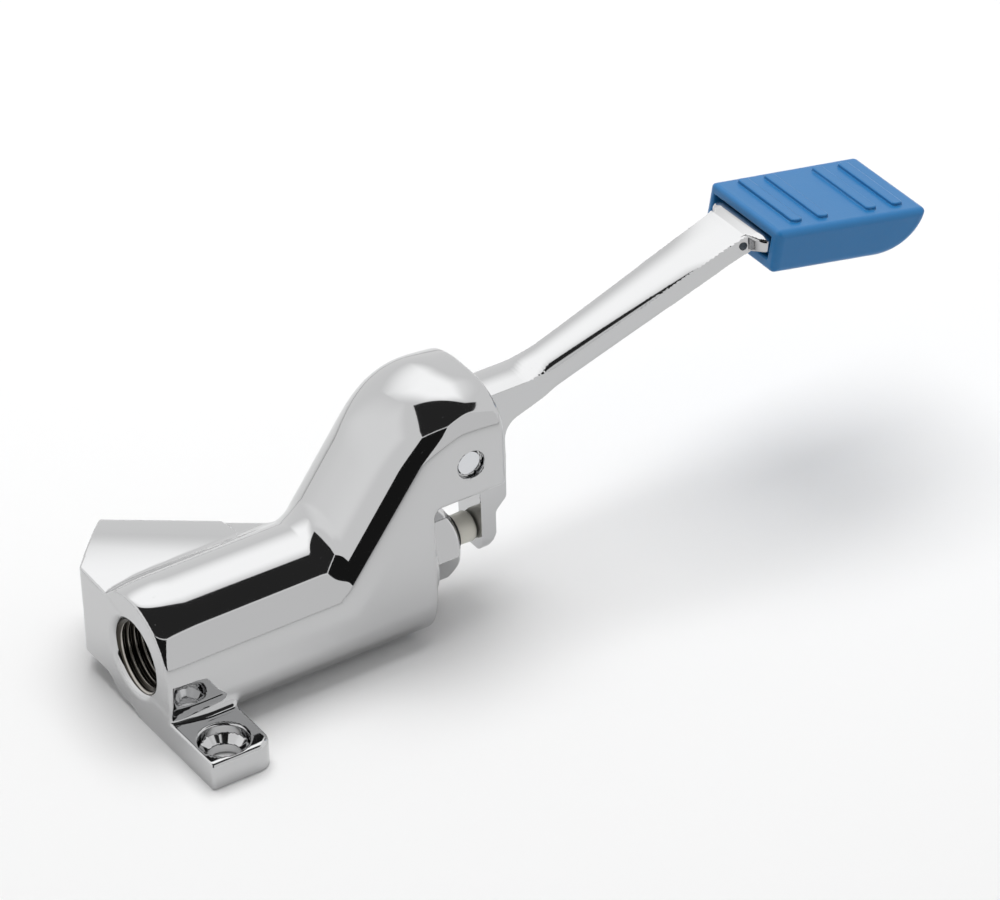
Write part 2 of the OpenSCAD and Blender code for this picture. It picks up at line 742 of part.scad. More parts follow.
module pedal_tongue() {
    upper = bar_end + (bar_end_t / 2 - 0.2) * bar_up;
    lower = bar_end - (bar_end_t / 2 - 0.2) * bar_up;
    clear = tongue_gap / cos(bar_angle) * [1, 0];
    color(chrome) from_inlet() difference() {
        union() {
            intersection() {
                across(2 * pad_w) polygon([upper + clear, pad_point([1, tongue_top]),
                    pad_point([tongue_in, tongue_top]), pad_point([tongue_in, tongue_top - tongue_t]),
                    pad_point([1, tongue_top - tongue_t]), lower + clear]);
                linear_extrude(4 * head_top_z) tongue_plan();
            }
            at_bar_end() translate([-tongue_root_len, -tongue_root_half, -tongue_root_t / 2])
                cube([tongue_root_len + 2, 2 * tongue_root_half, tongue_root_t]);
        }
        at_bar_end() across_pin(-tongue_pin_in, 0, -pad_w, pad_w, tongue_pin_r + seat_gap);
    }
}

module tongue_pin() {
    half = bar_end_half - 0.6;
    color(steel) from_inlet() at_bar_end() difference() {
        across_pin(-tongue_pin_in, 0, -half, half, tongue_pin_r);
        across_pin(-tongue_pin_in, 0, -pad_w, pad_w, tongue_pin_r / 2);
    }
}

// Side view of the pad in its own frame, with the curve under its front
module pad_side_view() {
    polygon(concat([[0, 0], [0, -pad_t]],
        arc([pad_len - pad_nose, 0], pad_nose, pad_t, -90, 0, 14)));
}

// Places the pad's own side view in the valve
module at_pad() {
    translate([pad_at[0], 0, pad_at[1]]) rotate([0, pad_angle, 0]) children();
}

module pedal_pad() {
    inside = pad_w - 2 * pad_side;
    color(pad_blue) from_inlet() at_pad() {
        difference() {
            across(pad_w) pad_side_view();
            translate([-over, -inside / 2, -pad_t + pad_wall])
                cube([tongue_in + tongue_gap + over, inside, pad_t - 2 * pad_wall]);
        }
        for (pair = [0, 1], pos = [0, 1])
            translate([strip_first + pair * strip_gap + pos * strip_step, -strip_len / 2, -0.3])
                cube([strip_w, strip_len, strip_h + 0.3]);
    }
}

valve_body();
seat_ring();
seat_seal();
cage_sleeve();
gland_nut();
gland_washer();
stem_seals();
seal_retainer();
wiper_ring();
pivot_pin();
pivot_washers();
return_spring();
valve_stem();
plunger_button();
stem_clip();
disc_holder();
valve_washer();
disc_nut();
pedal_lever();
lever_bush();
pedal_tongue();
tongue_pin();
pedal_pad();
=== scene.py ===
"""Looks of the foot pedal tap valve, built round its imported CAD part.

The cast and moulded pieces are solids given by a signed distance in millimetres, skinned on a grid and
settled onto their exact surface, so that polished metal reflects without facets. Small turned pieces are
surfaces of revolution. Everything is measured from the inlet face: x towards the pedal, y towards the
outlet's side, z up from the floor.
"""

import json
import logging
import math
from abc import ABC, abstractmethod
from dataclasses import dataclass
from enum import Enum, IntEnum
from itertools import combinations

import bpy
import numpy as np
from mathutils import Matrix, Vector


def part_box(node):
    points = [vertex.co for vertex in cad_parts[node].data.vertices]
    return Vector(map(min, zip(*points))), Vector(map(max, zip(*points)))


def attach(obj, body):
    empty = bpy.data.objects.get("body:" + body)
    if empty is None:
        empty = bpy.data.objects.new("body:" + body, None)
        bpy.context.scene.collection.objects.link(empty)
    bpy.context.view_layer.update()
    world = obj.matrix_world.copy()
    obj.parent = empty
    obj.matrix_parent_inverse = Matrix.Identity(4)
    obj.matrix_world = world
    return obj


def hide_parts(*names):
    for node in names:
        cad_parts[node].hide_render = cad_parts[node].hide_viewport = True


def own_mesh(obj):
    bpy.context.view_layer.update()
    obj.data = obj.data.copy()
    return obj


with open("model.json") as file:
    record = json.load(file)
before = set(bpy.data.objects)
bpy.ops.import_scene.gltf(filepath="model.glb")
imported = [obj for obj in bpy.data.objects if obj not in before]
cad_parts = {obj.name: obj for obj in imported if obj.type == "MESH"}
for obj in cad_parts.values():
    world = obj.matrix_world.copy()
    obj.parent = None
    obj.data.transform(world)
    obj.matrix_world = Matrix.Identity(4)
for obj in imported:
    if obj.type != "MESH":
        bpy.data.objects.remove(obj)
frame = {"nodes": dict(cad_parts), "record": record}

log = logging.getLogger("foot_valve")

Array = np.ndarray
Point = tuple[float, float]
Triple = tuple[float, float, float]
MM = 0.001
# A distance that counts as well inside, and the least length that is divided by.
DEEP = -9.0
TINY = 1e-9


class Body(str, Enum):
    """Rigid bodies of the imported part."""

    VALVE = "valve"
    STEM = "stem"
    PEDAL = "pedal"


class Slot(str, Enum):
    """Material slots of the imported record."""

    CHROME = "chrome"
    BRASS = "brass"
    STEEL = "steel"
    RUBBER = "rubber"
    FIBRE = "fibre"
    NYLON = "nylon"
    PAD = "blue_plastic"


# Distance fields


def smooth(t: Array) -> Array:
    """Eases from 0 to 1 with flat ends: 3t^2 - 2t^3 of t held between 0 and 1.

    Args:
        t: Share of the way.

    Returns:
        Eased share.
    """
    t = np.clip(t, 0.0, 1.0)
    return t * t * (3.0 - 2.0 * t)


def cut(a: Array, b: Array, r: Array | float) -> Array:
    """Intersects two solids and rounds the edge where they meet.

    Near the edge the distance is that to a circle of radius r that touches both faces.

    Args:
        a: Distances to the first solid.
        b: Distances to the second solid.
        r: Radius of the edge.

    Returns:
        Distances to the common part.
    """
    u = np.maximum(a + r, 0.0)
    v = np.maximum(b + r, 0.0)
    return np.minimum(np.maximum(a, b), -r) + np.hypot(u, v)


def join(a: Array, b: Array, r: Array | float) -> Array:
    """Unites two solids with a concave fillet of radius r, as cut does for the space outside them.

    Args:
        a: Distances to the first solid.
        b: Distances to the second solid.
        r: Radius of the fillet.

    Returns:
        Distances to both together.
    """
    return -cut(-a, -b, r)


def carve(a: Array, b: Array, r: Array | float) -> Array:
    """Takes solid b out of solid a and rounds the rim.

    Args:
        a: Distances to the solid that is cut.
        b: Distances to the solid that is taken out.
        r: Radius of the rim.

    Returns:
        Distances to what is left.
    """
    return cut(a, -b, r)


def oval_cut(a: Array, b: Array, ra: float, rb: float, power: float) -> Array:
    """Intersects two solids with a superelliptical edge that reaches ra into a and rb into b.

    In coordinates divided by the two reaches, the edge is where the powers of the two add up to 1; the
    result is scaled back by the reach that counts at that point.

    Args:
        a: Distances to the first solid.
        b: Distances to the second solid.
        ra: Reach of the edge behind the first face.
        rb: Reach of the edge behind the second face.
        power: 2 for an ellipse, more for a squarer edge.

    Returns:
        Distances to the common part.
    """
    u = np.maximum(a / ra + 1.0, 0.0)
    v = np.maximum(b / rb + 1.0, 0.0)
    uu, vv = u * u, v * v
    scale = (ra * uu + rb * vv) / np.maximum(uu + vv, TINY)
    length = (u ** power + v ** power) ** (1.0 / power)
    deep = np.maximum(a + ra, b + rb) - min(ra, rb)
    return np.where(uu + vv > 0.0, (length - 1.0) * scale, deep)


def segment(x: Array, z: Array, a: Point, b: Point) -> Array:
    """Distance in the plane to the straight line between two points.

    Args:
        x: First coordinates.
        z: Second coordinates.
        a: One end.
        b: Other end.

    Returns:
        Distances.
    """
    dx, dz = b[0] - a[0], b[1] - a[1]
    t = np.clip(((x - a[0]) * dx + (z - a[1]) * dz) / (dx * dx + dz * dz), 0.0, 1.0)
    return np.hypot(x - a[0] - t * dx, z - a[1] - t * dz)


def outline(x: Array, z: Array, corners: Array) -> Array:
    """Signed distance in the plane to a closed outline: the nearest side, negative where a ray crosses oddly.

    Args:
        x: First coordinates.
        z: Second coordinates.
        corners: Corners in order, one row each.

    Returns:
        Distances, negative inside.
    """
    best = np.full(x.shape, 1e9)
    inside = np.zeros(x.shape, bool)
    for a, b in zip(corners, np.roll(corners, -1, axis=0)):
        best = np.minimum(best, segment(x, z, tuple(a), tuple(b)))
        span = b[1] - a[1]
        if span:
            spans = (a[1] > z) != (b[1] > z)
            inside ^= spans & (x < a[0] + (z - a[1]) * (b[0] - a[0]) / span)
    return np.where(inside, -best, best)


def filleted(corners: list[Triple], steps: int = 9) -> Array:
    """Rounds the corners of an outline with arcs that touch both sides.

    Args:
        corners: Corner coordinates, each with its radius.
        steps: Points on each arc.

    Returns:
        Corners of the rounded outline, one row each.
    """
    pts = np.array(corners, float)
    rows = []
    for before, here, after in zip(np.roll(pts, 1, 0), pts, np.roll(pts, -1, 0)):
        p, r = here[:2], here[2]
        if r <= 0:
            rows.append(p[None])
            continue
        u = (before[:2] - p) / np.linalg.norm(before[:2] - p)
        v = (after[:2] - p) / np.linalg.norm(after[:2] - p)
        half = math.acos(float(np.clip(u @ v, -1, 1))) / 2
        middle = p + (u + v) / np.linalg.norm(u + v) * (r / math.sin(half))
        start = p + u * (r / math.tan(half)) - middle
        end = p + v * (r / math.tan(half)) - middle
        turn = math.atan2(start[0] * end[1] - start[1] * end[0], start @ end)
        t = np.linspace(0, turn, steps)
        side = np.array([-start[1], start[0]])
        rows.append(middle + np.cos(t)[:, None] * start + np.sin(t)[:, None] * side)
    return np.vstack(rows)


def above(x: Array, z: Array, line: Triple) -> Array:
    """Height above a sloping line in the side view.

    Args:
        x: Coordinates along.
        z: Heights.
        line: Place and height of a point of the line, and its rise per length.

    Returns:
        Heights, negative below the line.
    """
    at_x, at_z, rise = line
    return z - at_z - (x - at_x) * rise


def lattice(*counts: int) -> Array:
    """Places of the nodes of a box, one row of whole numbers each, the last axis running fastest."""
    return np.indices(counts).reshape(len(counts), -1).T


class Solid(ABC):
    """A solid given by signed distances in millimetres, negative inside."""

    low: Triple
    high: Triple

    @abstractmethod
    def distance(self, x: Array, y: Array, z: Array) -> Array:
        """Signed distance at each point.

        Args:
            x: Coordinates from the inlet face.
            y: Coordinates from the middle plane.
            z: Heights above the floor.

        Returns:
            Distances in millimetres.
        """

    def at(self, p: Array) -> Array:
        """Signed distance at rows of points.

        Args:
            p: Points, one row each.

        Returns:
            Distances in millimetres.
        """
        return self.distance(p[:, 0], p[:, 1], p[:, 2])

    def slope(self, p: Array, h: float = 0.03) -> Array:
        """Gradient of the distance, by central differences.

        Args:
            p: Points, one row each.
            h: Half of the difference's step.

        Returns:
            Gradients, one row each.
        """
        axes = np.eye(3) * h
        return np.stack([self.at(p + a) - self.at(p - a) for a in axes], axis=1) / (2 * h)


@dataclass(frozen=True)
class Skin:
    """Skins a solid: one corner per crossed grid cell, joined across crossed grid edges, then settled.

    The margin round the solid's box and the longest stride are in grid steps. A block of cells is left out
    where its middle lies further than reach blocks from the surface.
    """

    step: float
    block: int = 8
    margin: float = 2.3
    reach: float = 1.35
    rounds: int = 5
    stride: float = 0.6
    least_slope: float = 0.05

    def field(self, solid: Solid) -> tuple[Array, Array]:
        """Distances on the grid's nodes, worked out only in blocks that the surface may pass through.

        Args:
            solid: What is sampled.

        Returns:
            Distances on the nodes, and the first node's place.
        """
        low = np.array(solid.low) - self.margin * self.step
        span = np.array(solid.high) + self.margin * self.step - low
        width = self.step * self.block
        blocks = np.ceil(span / width).astype(int)
        where = lattice(*blocks)
        rough = solid.at(low + (where + 0.5) * width)
        values = rough.reshape(blocks)
        for axis in range(3):
            values = np.repeat(values, self.block, axis)
        values = np.pad(values, ((0, 1),) * 3, mode="edge")
        near = where[np.abs(rough) < width * self.reach]
        inner = lattice(*[self.block + 1] * 3)
        nodes = (near[:, None] * self.block + inner[None]).reshape(-1, 3)
        values[tuple(nodes.T)] = solid.at(low + nodes * self.step)
        return values, low

    def surface(self, solid: Solid) -> tuple[Array, Array, Array]:
        """Corners, quads and normals of the solid's skin.

        Each corner starts at the mean of its cell's edge crossings and is moved down the gradient until
        the distance there is nought.

        Args:
            solid: What is skinned.

        Returns:
            Corners, four corner numbers per face, and unit normals.
        """
        values, low = self.field(solid)
        inside = values < 0
        cells = np.array(values.shape) - 1
        offsets = lattice(2, 2, 2)
        count = np.zeros(cells, np.int8)
        for i, j, k in offsets:
            count += inside[i:i + cells[0], j:j + cells[1], k:k + cells[2]]
        active = np.argwhere((count > 0) & (count < 8))
        number = np.full(cells, -1, np.int64)
        number[tuple(active.T)] = np.arange(len(active))
        corner = np.stack([values[tuple((active + o).T)] for o in offsets], axis=1)
        total = np.zeros((len(active), 3))
        hits = np.zeros(len(active))
        edges = [(a, b) for a, b in combinations(range(8), 2) if abs(offsets[a] - offsets[b]).sum() == 1]
        for a, b in edges:
            crossed = (corner[:, a] < 0) != (corner[:, b] < 0)
            gap = np.where(crossed, corner[:, a] - corner[:, b], 1.0)
            t = np.where(crossed, corner[:, a] / gap, 0.0)[:, None]
            total += crossed[:, None] * (offsets[a] + t * (offsets[b] - offsets[a]))
            hits += crossed
        points = low + (active + total / hits[:, None]) * self.step
        quads = np.vstack([self._quads(inside, number, axis) for axis in range(3)])
        points, slope = self.settle(solid, points)
        return points, quads, slope / np.maximum(np.linalg.norm(slope, axis=1, keepdims=True), TINY)

    @staticmethod
    def _quads(inside: Array, number: Array, axis: int) -> Array:
        """Faces across the grid edges along one axis that the surface crosses, wound to face outwards."""
        turned = np.moveaxis(inside, axis, 0)
        if axis == 1:
            turned = np.swapaxes(turned, 1, 2)
        lower = turned[:-1, 1:-1, 1:-1]
        edges = np.argwhere(lower != turned[1:, 1:-1, 1:-1])
        outwards = lower[tuple(edges.T)]
        ring = np.array([(0, 0), (1, 0), (1, 1), (0, 1)])
        along, u, v = axis, (axis + 1) % 3, (axis + 2) % 3
        cell = np.empty((len(edges), 4, 3), np.int64)
        cell[..., along] = edges[:, :1]
        cell[..., u] = edges[:, 1:2] + ring[None, :, 0]
        cell[..., v] = edges[:, 2:3] + ring[None, :, 1]
        quads = number[cell[..., 0], cell[..., 1], cell[..., 2]]
        return np.where(outwards[:, None], quads, quads[:, ::-1])

    @staticmethod
    def crisp(points: Array, quads: Array, normals: Array, agreement: float = 0.96) -> Array:
        """Normals at the corners of each face; a face across a sharp edge takes the one nearest to its own.

        Args:
            points: Corners.
            quads: Faces.
            normals: Unit normals at the corners.
            agreement: Least cosine between a face's corner normals and their mean that counts as smooth.

        Returns:
            Unit normals, four rows per face.
        """
        turned = normals[quads]
        mean = turned.mean(axis=1, keepdims=True)
        mean /= np.maximum(np.linalg.norm(mean, axis=2, keepdims=True), TINY)
        sharp = (turned * mean).sum(axis=2).min(axis=1) < agreement
        first, second, third, fourth = (points[quads[sharp, i]] for i in range(4))
        own = np.cross(third - first, fourth - second)
        nearest = (turned[sharp] * own[:, None]).sum(axis=2).argmax(axis=1)
        turned[sharp] = turned[sharp][np.arange(len(own)), nearest][:, None]
        return turned.reshape(-1, 3)

    def settle(self, solid: Solid, points: Array) -> tuple[Array, Array]:
        """Moves points down the gradient onto the surface, in short steps.

        Args:
            solid: Whose surface it is.
            points: Points near the surface.

        Returns:
            Points on the surface, and the gradient there.
        """
        for _ in range(self.rounds):
            slope = solid.slope(points)
            size = np.maximum((slope * slope).sum(1), self.least_slope)
            move = (solid.at(points) / size)[:, None] * slope
            length = np.linalg.norm(move, axis=1, keepdims=True)
            points = points - move * np.minimum(1.0, self.stride * self.step / np.maximum(length, TINY))
        return points, solid.slope(points)


# The valve's solids


@dataclass(frozen=True)
class Casting(Solid):
    """The cast body: barrel, neck, head, outlet boss and fixing lugs."""

    # Barrel
    barrel_r: float = 17.8
    axis_z: float = 17.2
    length: float = 74.5
    foot_r: float = 12.9
    toe_r: float = 7.0
    front_edge: float = 1.0
    roll_len: float = 11.0
    roll_in: float = 1.5
    roll_past: float = 0.1
    roll_power: float = 2.0
    # Neck and head
    neck_angle: float = 52.67
    neck_at: Point = (61.85, 50.0)
    head_r: float = 12.5
    head_power: float = 2.5
    head_at: Point = (85.0, 65.68)
    head_fall: float = 2.0
    head_arc: float = 75.0
    head_edge: float = 1.6
    section_power: float = 2.5
    crown: float = 12.7
    front_x: float = 95.2
    cheek_z: float = 39.3
    notch_r: float = 2.2
    root_r: float = 3.6
    # Slot for the lever
    slot_half: float = 7.5
    slot_at: Point = (72.9, 60.1)
    slot_r: float = 6.0
    slot_past: float = 0.5
    slot_edge: float = 0.7
    # Outlet boss
    outlet_x: float = 43.7
    outlet_angle: float = 42.0
    outlet_len: float = 48.7
    boss_up: float = 12.63
    boss_rise: float = 0.064
    boss_dome: float = 80.0
    boss_crest: float = -4.0
    boss_half: float = 12.9
    boss_side_r: float = 3.5
    boss_step: float = 0.45
    boss_step_r: float = 0.3
    boss_edge: float = 9.3
    boss_tip: float = 37.2
    boss_tip_r: float = 5.0
    boss_back: float = 2.0
    web_half: float = 12.3
    crotch_r: float = 1.0
    # Lugs and their screw holes
    lug_w: float = 17.2
    lug_t: float = 7.4
    lug_reach: float = 35.8
    lug_corner_r: float = 4.5
    lug_edge: float = 1.2
    lug_fillet: float = 3.5
    far_lug_x: float = 52.5
    far_lug_fillet: float = 2.5
    lug_hole_x: float = 7.45
    lug_hole_y: float = 28.4
    lug_hole_r: float = 4.3
    lug_hole_edge: float = 0.5
    screw_head_r: float = 6.25
    screw_cone_z: float = 2.85
    screw_cone_scale: float = 0.8
    # Pivot pin
    pivot: Point = (85.2, 48.5)
    pin_hole_r: float = 3.05
    pin_recess_r: float = 3.73
    pin_recess_y: float = 16.2
    # Ports, chambers and the water way
    thread_r: float = 9.4
    port_depth: float = 11.0
    port_rim: float = 2.2
    mouth_edge: float = 0.6
    seat_x: float = 30.0
    wall_hole_r: float = 5.2
    spring_r: float = 9.0
    spring_x: float = 21.75
    spring_half: float = 8.25
    chamber_r: float = 11.0
    bore_edge: float = 0.35
    passage_from: Point = (15.6, 25.2)
    passage_to: Point = (50.0, 3.0)
    passage_back: float = 2.0
    passage_r: float = 5.5
    passage_rim: float = 0.3
    # Box
    low: Triple = (0.0, -36.0, 0.0)
    high: Triple = (95.4, 44.8, 66.6)

    def _barrel(self, x: Array, y: Array, z: Array) -> Array:
        """Round above its axis, square below it with rounded edges, rolled in at the inlet, round toe."""
        upper = np.hypot(y, z - self.axis_z) - self.barrel_r
        side = np.abs(y) - (self.barrel_r - self.foot_r)
        down = self.foot_r - z
        corner = np.hypot(np.maximum(side, 0), np.maximum(down, 0))
        lower = corner + np.minimum(np.maximum(side, down), 0) - self.foot_r
        section = np.where(z > self.axis_z, upper, lower)
        section = oval_cut(-x - self.roll_past, section, self.roll_len, self.roll_in, self.roll_power)
        front = x - self.length
        return np.maximum(cut(section, front, self.front_edge), cut(-z, front, self.toe_r))

    def _head(self, x: Array, y: Array, z: Array) -> Array:
        """Neck and head: a sloping face and a long arc with a rounding between them, arched across."""
        a, b = math.radians(self.neck_angle), math.radians(self.head_fall)
        below_x = self.head_at[0] - self.head_arc * math.sin(b)
        below_z = self.head_at[1] - self.head_arc * math.cos(b)
        neck = (z - self.neck_at[1]) * math.cos(a) - (x - self.neck_at[0]) * math.sin(a)
        top = np.hypot(x - below_x, z - below_z) - self.head_arc
        side = oval_cut(neck, top, self.head_r, self.head_r, self.head_power)
        solid = oval_cut(side, np.abs(y) - self.barrel_r, self.crown, self.barrel_r, self.section_power)
        solid = cut(solid, x - self.front_x, self.head_edge)
        notch = cut(self.length - x, z - self.cheek_z, self.notch_r)
        solid = carve(solid, notch, self.slot_edge)
        slot = cut(self.slot_at[0] - x, z - self.slot_at[1], self.slot_r)
        walls = np.maximum(np.abs(y) - self.slot_half, self.cheek_z - self.slot_past - z)
        solid = carve(solid, np.maximum(slot, walls), self.slot_edge)
        return np.maximum(solid, self.foot_r - z)

    def _boss(self, x: Array, y: Array, z: Array) -> tuple[Array, Array, Array]:
        """Along, across and distance of the outlet boss, whose domed face stands a little above its root."""
        a = math.radians(self.outlet_angle)
        along = y * math.sin(a) - (x - self.outlet_x) * math.cos(a)
        across = (x - self.outlet_x) * math.sin(a) + y * math.cos(a)
        up = z - self.axis_z
        dome = (across - self.boss_crest) ** 2 / (2 * self.boss_dome)
        top = up - self.boss_up - self.boss_rise * (self.outlet_len - along) + dome
        limits = np.maximum(np.maximum(-up - self.web_half, -y), -along - self.boss_back)
        far = across - self.boss_half
        root = np.maximum(cut(top + self.boss_step, far, self.boss_side_r), limits)
        plan = cut(self.boss_edge - y, x - self.boss_tip, self.boss_tip_r)
        face = cut(cut(top, far, self.boss_side_r), plan, self.boss_step_r)
        return along, across, np.minimum(root, np.maximum(face, limits))

    def _lug(self, x: Array, y: Array, z: Array) -> Array:
        """A flat lug that reaches to negative y, its inlet-side edge at x = 0."""
        plan = cut(x - self.lug_w, -self.lug_reach - y, self.lug_corner_r)
        return np.maximum(cut(plan, z - self.lug_t, self.lug_edge), y)

    def _lug_hole(self, x: Array, y: Array, z: Array) -> Array:
        """Its screw hole, wider above a conical step; the scale allows for the cone's slope."""
        width = np.clip(self.lug_hole_r + (z - self.screw_cone_z), self.lug_hole_r, self.screw_head_r)
        return (np.hypot(x - self.lug_hole_x, y + self.lug_hole_y) - width) * self.screw_cone_scale

    def distance(self, x: Array, y: Array, z: Array) -> Array:
        """Barrel, head, boss and lugs joined with fillets, cut at both mouths and the floor, then bored."""
        root = self.root_r * np.maximum(1.0 - (y / self.barrel_r) ** 4, 0.0)
        solid = join(self._barrel(x, y, z), self._head(x, y, z), root)
        along, across, boss = self._boss(x, y, z)
        solid = join(solid, boss, self.crotch_r)
        solid = join(solid, self._lug(x, y, z), self.lug_fillet)
        far = np.maximum(self._lug(x - self.far_lug_x, -y, z), self.far_lug_x - x)
        solid = join(solid, far, self.far_lug_fillet)
        solid = cut(solid, along - self.outlet_len, self.mouth_edge)
        solid = np.maximum(cut(solid, -x, self.mouth_edge), -z)
        solid = carve(solid, self._lug_hole(x, y, z), self.lug_hole_edge)
        solid = carve(solid, self._lug_hole(x - self.far_lug_x, -y, z), self.lug_hole_edge)
        return self._bores(solid, x, y, z, along, across)

    def _bores(self, solid: Array, x: Array, y: Array, z: Array, along: Array, across: Array) -> Array:
        """Takes the ports, the chamber, the water way and the pin's recesses out of the casting."""
        r = np.hypot(y, z - self.axis_z)
        port = np.maximum(r - self.thread_r, x - self.port_depth)
        wall_hole = np.maximum(r - self.wall_hole_r, x - self.seat_x)
        spring_room = np.maximum(r - self.spring_r, np.abs(x - self.spring_x) - self.spring_half)
        room = np.maximum(r - self.chamber_r, self.seat_x - x)
        chamber = np.minimum(np.minimum(wall_hole, spring_room), room)
        solid = carve(carve(solid, port, self.port_rim), chamber, self.bore_edge)
        depth = self.outlet_len - along
        outlet = np.maximum(np.hypot(across, z - self.axis_z) - self.thread_r, depth - self.port_depth)
        start, end = np.array(self.passage_from), np.array(self.passage_to)
        length = np.linalg.norm(end - start)
        run = (end - start) / length
        way = (x - start[0]) * run[0] + (y - start[1]) * run[1]
        offset = (x - start[0]) * run[1] - (y - start[1]) * run[0]
        ends = np.maximum(-self.passage_back - way, way - length)
        passage = np.maximum(np.hypot(offset, z - self.axis_z) - self.passage_r, ends)
        solid = carve(carve(solid, outlet, self.port_rim), passage, self.passage_rim)
        pin = np.hypot(x - self.pivot[0], z - self.pivot[1])
        recess = np.maximum(pin - self.pin_recess_r, self.pin_recess_y - np.abs(y))
        return carve(solid, np.minimum(recess, pin - self.pin_hole_r), self.bore_edge)


@dataclass(frozen=True)
class Lever(Solid):
    """The lever: hub between the cheeks, hanging tail, and a bar that rises and widens to the pedal."""

    # Width of the bar
    half: float = 5.4
    end_half: float = 7.3
    widen_power: float = 1.35
    widen_most: float = 1.05
    flare: float = 0.4
    flare_x: float = 168.5
    flare_len: float = 5.0
    bend_x: float = 112.5
    end_x: float = 173.0
    # Arch across its top
    middle_z: float = 52.8
    climb: float = 0.335
    crown: float = 0.9
    crown_loss: float = 0.8
    crown_loss_x: float = 156.0
    crown_loss_len: float = 16.0
    crown_below: float = 1.0
    crown_depth: float = 2.5
    # Rounding of its edges
    edge: float = 0.02
    middle_edge: float = 1.1
    edge_rise_len: float = 6.0
    edge_fall_x: float = 118.0
    edge_fall_len: float = 50.0
    edge_stop_x: float = 149.0
    edge_stop_len: float = 4.0
    # Tail and hub
    tail_z: float = 20.0
    tip_z: float = 11.2
    tip_r: float = 4.0
    pivot: Point = (85.2, 48.5)
    hub_r: float = 7.8
    hub_half: float = 6.5
    hub_edge: float = 0.6
    hub_fillet: float = 0.5
    bush_r: float = 4.56
    bush_rim: float = 0.3
    # Box
    low: Triple = (77.0, -8.1, 10.6)
    high: Triple = (174.5, 8.1, 77.2)

    def side(self) -> Array:
        """Side view of tail and bar, at their edges.

        Returns:
            Corners of the outline.
        """
        return filleted([
            (80.0, 56.3, 0), (112.5, 56.3, 26.0), (173.6, 75.7, 1.6), (174.2, 70.9, 1.6),
            (110.0, 48.5, 0), (102.7, 46.2, 5.5), (102.4, 25.6, 1.0), (99.3, 22.4, 1.4), (99.2, 16.0, 3.0),
            (96.6, 11.2, 1.2), (95.0, 11.2, 0.5), (95.0, 41.0, 2.0), (80.0, 41.0, 0)])

    def distance(self, x: Array, y: Array, z: Array) -> Array:
        """The side view, arched across its top, cut to the width along the bar; then the hub and its hole."""
        share = np.clip((x - self.bend_x) / (self.end_x - self.bend_x), 0.0, self.widen_most)
        half = self.half + (self.end_half - self.half) * share ** self.widen_power
        half = half + self.flare * (np.maximum(x - self.flare_x, 0.0) / self.flare_len) ** 2
        crown = self.crown * (1.0 - self.crown_loss * smooth((x - self.crown_loss_x) / self.crown_loss_len))
        height = above(np.maximum(x, self.bend_x), z, (self.bend_x, self.middle_z, self.climb))
        lift = crown * (1.0 - (y / half) ** 2) * smooth((height + self.crown_below) / self.crown_depth)
        tip = cut(self.tip_z - z, np.abs(y) - self.half, self.tip_r)
        fall = np.clip(1.0 - (x - self.edge_fall_x) / self.edge_fall_len, 0.0, 1.0)
        fall = fall * (1.0 - smooth((x - self.edge_stop_x) / self.edge_stop_len))
        edge = self.edge + self.middle_edge * smooth((x - self.bend_x) / self.edge_rise_len) * fall
        bar = cut(outline(x, z - lift, self.side()), np.abs(y) - half, edge)
        bar = np.maximum(bar, np.where(z < self.tail_z, tip, DEEP))
        pin = np.hypot(x - self.pivot[0], z - self.pivot[1])
        hub = cut(pin - self.hub_r, np.abs(y) - self.hub_half, self.hub_edge)
        return carve(join(bar, hub, self.hub_fillet), pin - self.bush_r, self.bush_rim)


@dataclass(frozen=True)
class PadFrame:
    """The pad's own side view: along its top from the back edge, and up from its top face."""

    corner: Point = (177.05, 78.49)
    angle: float = 11.7

    def local(self, x: Array, z: Array) -> tuple[Array, Array]:
        """Turns side-view coordinates into the pad's own.

        Args:
            x: Coordinates from the inlet face.
            z: Heights.

        Returns:
            Coordinates along and above the pad's top.
        """
        c, s = math.cos(math.radians(self.angle)), math.sin(math.radians(self.angle))
        dx, dz = x - self.corner[0], z - self.corner[1]
        return dx * c - dz * s, dx * s + dz * c


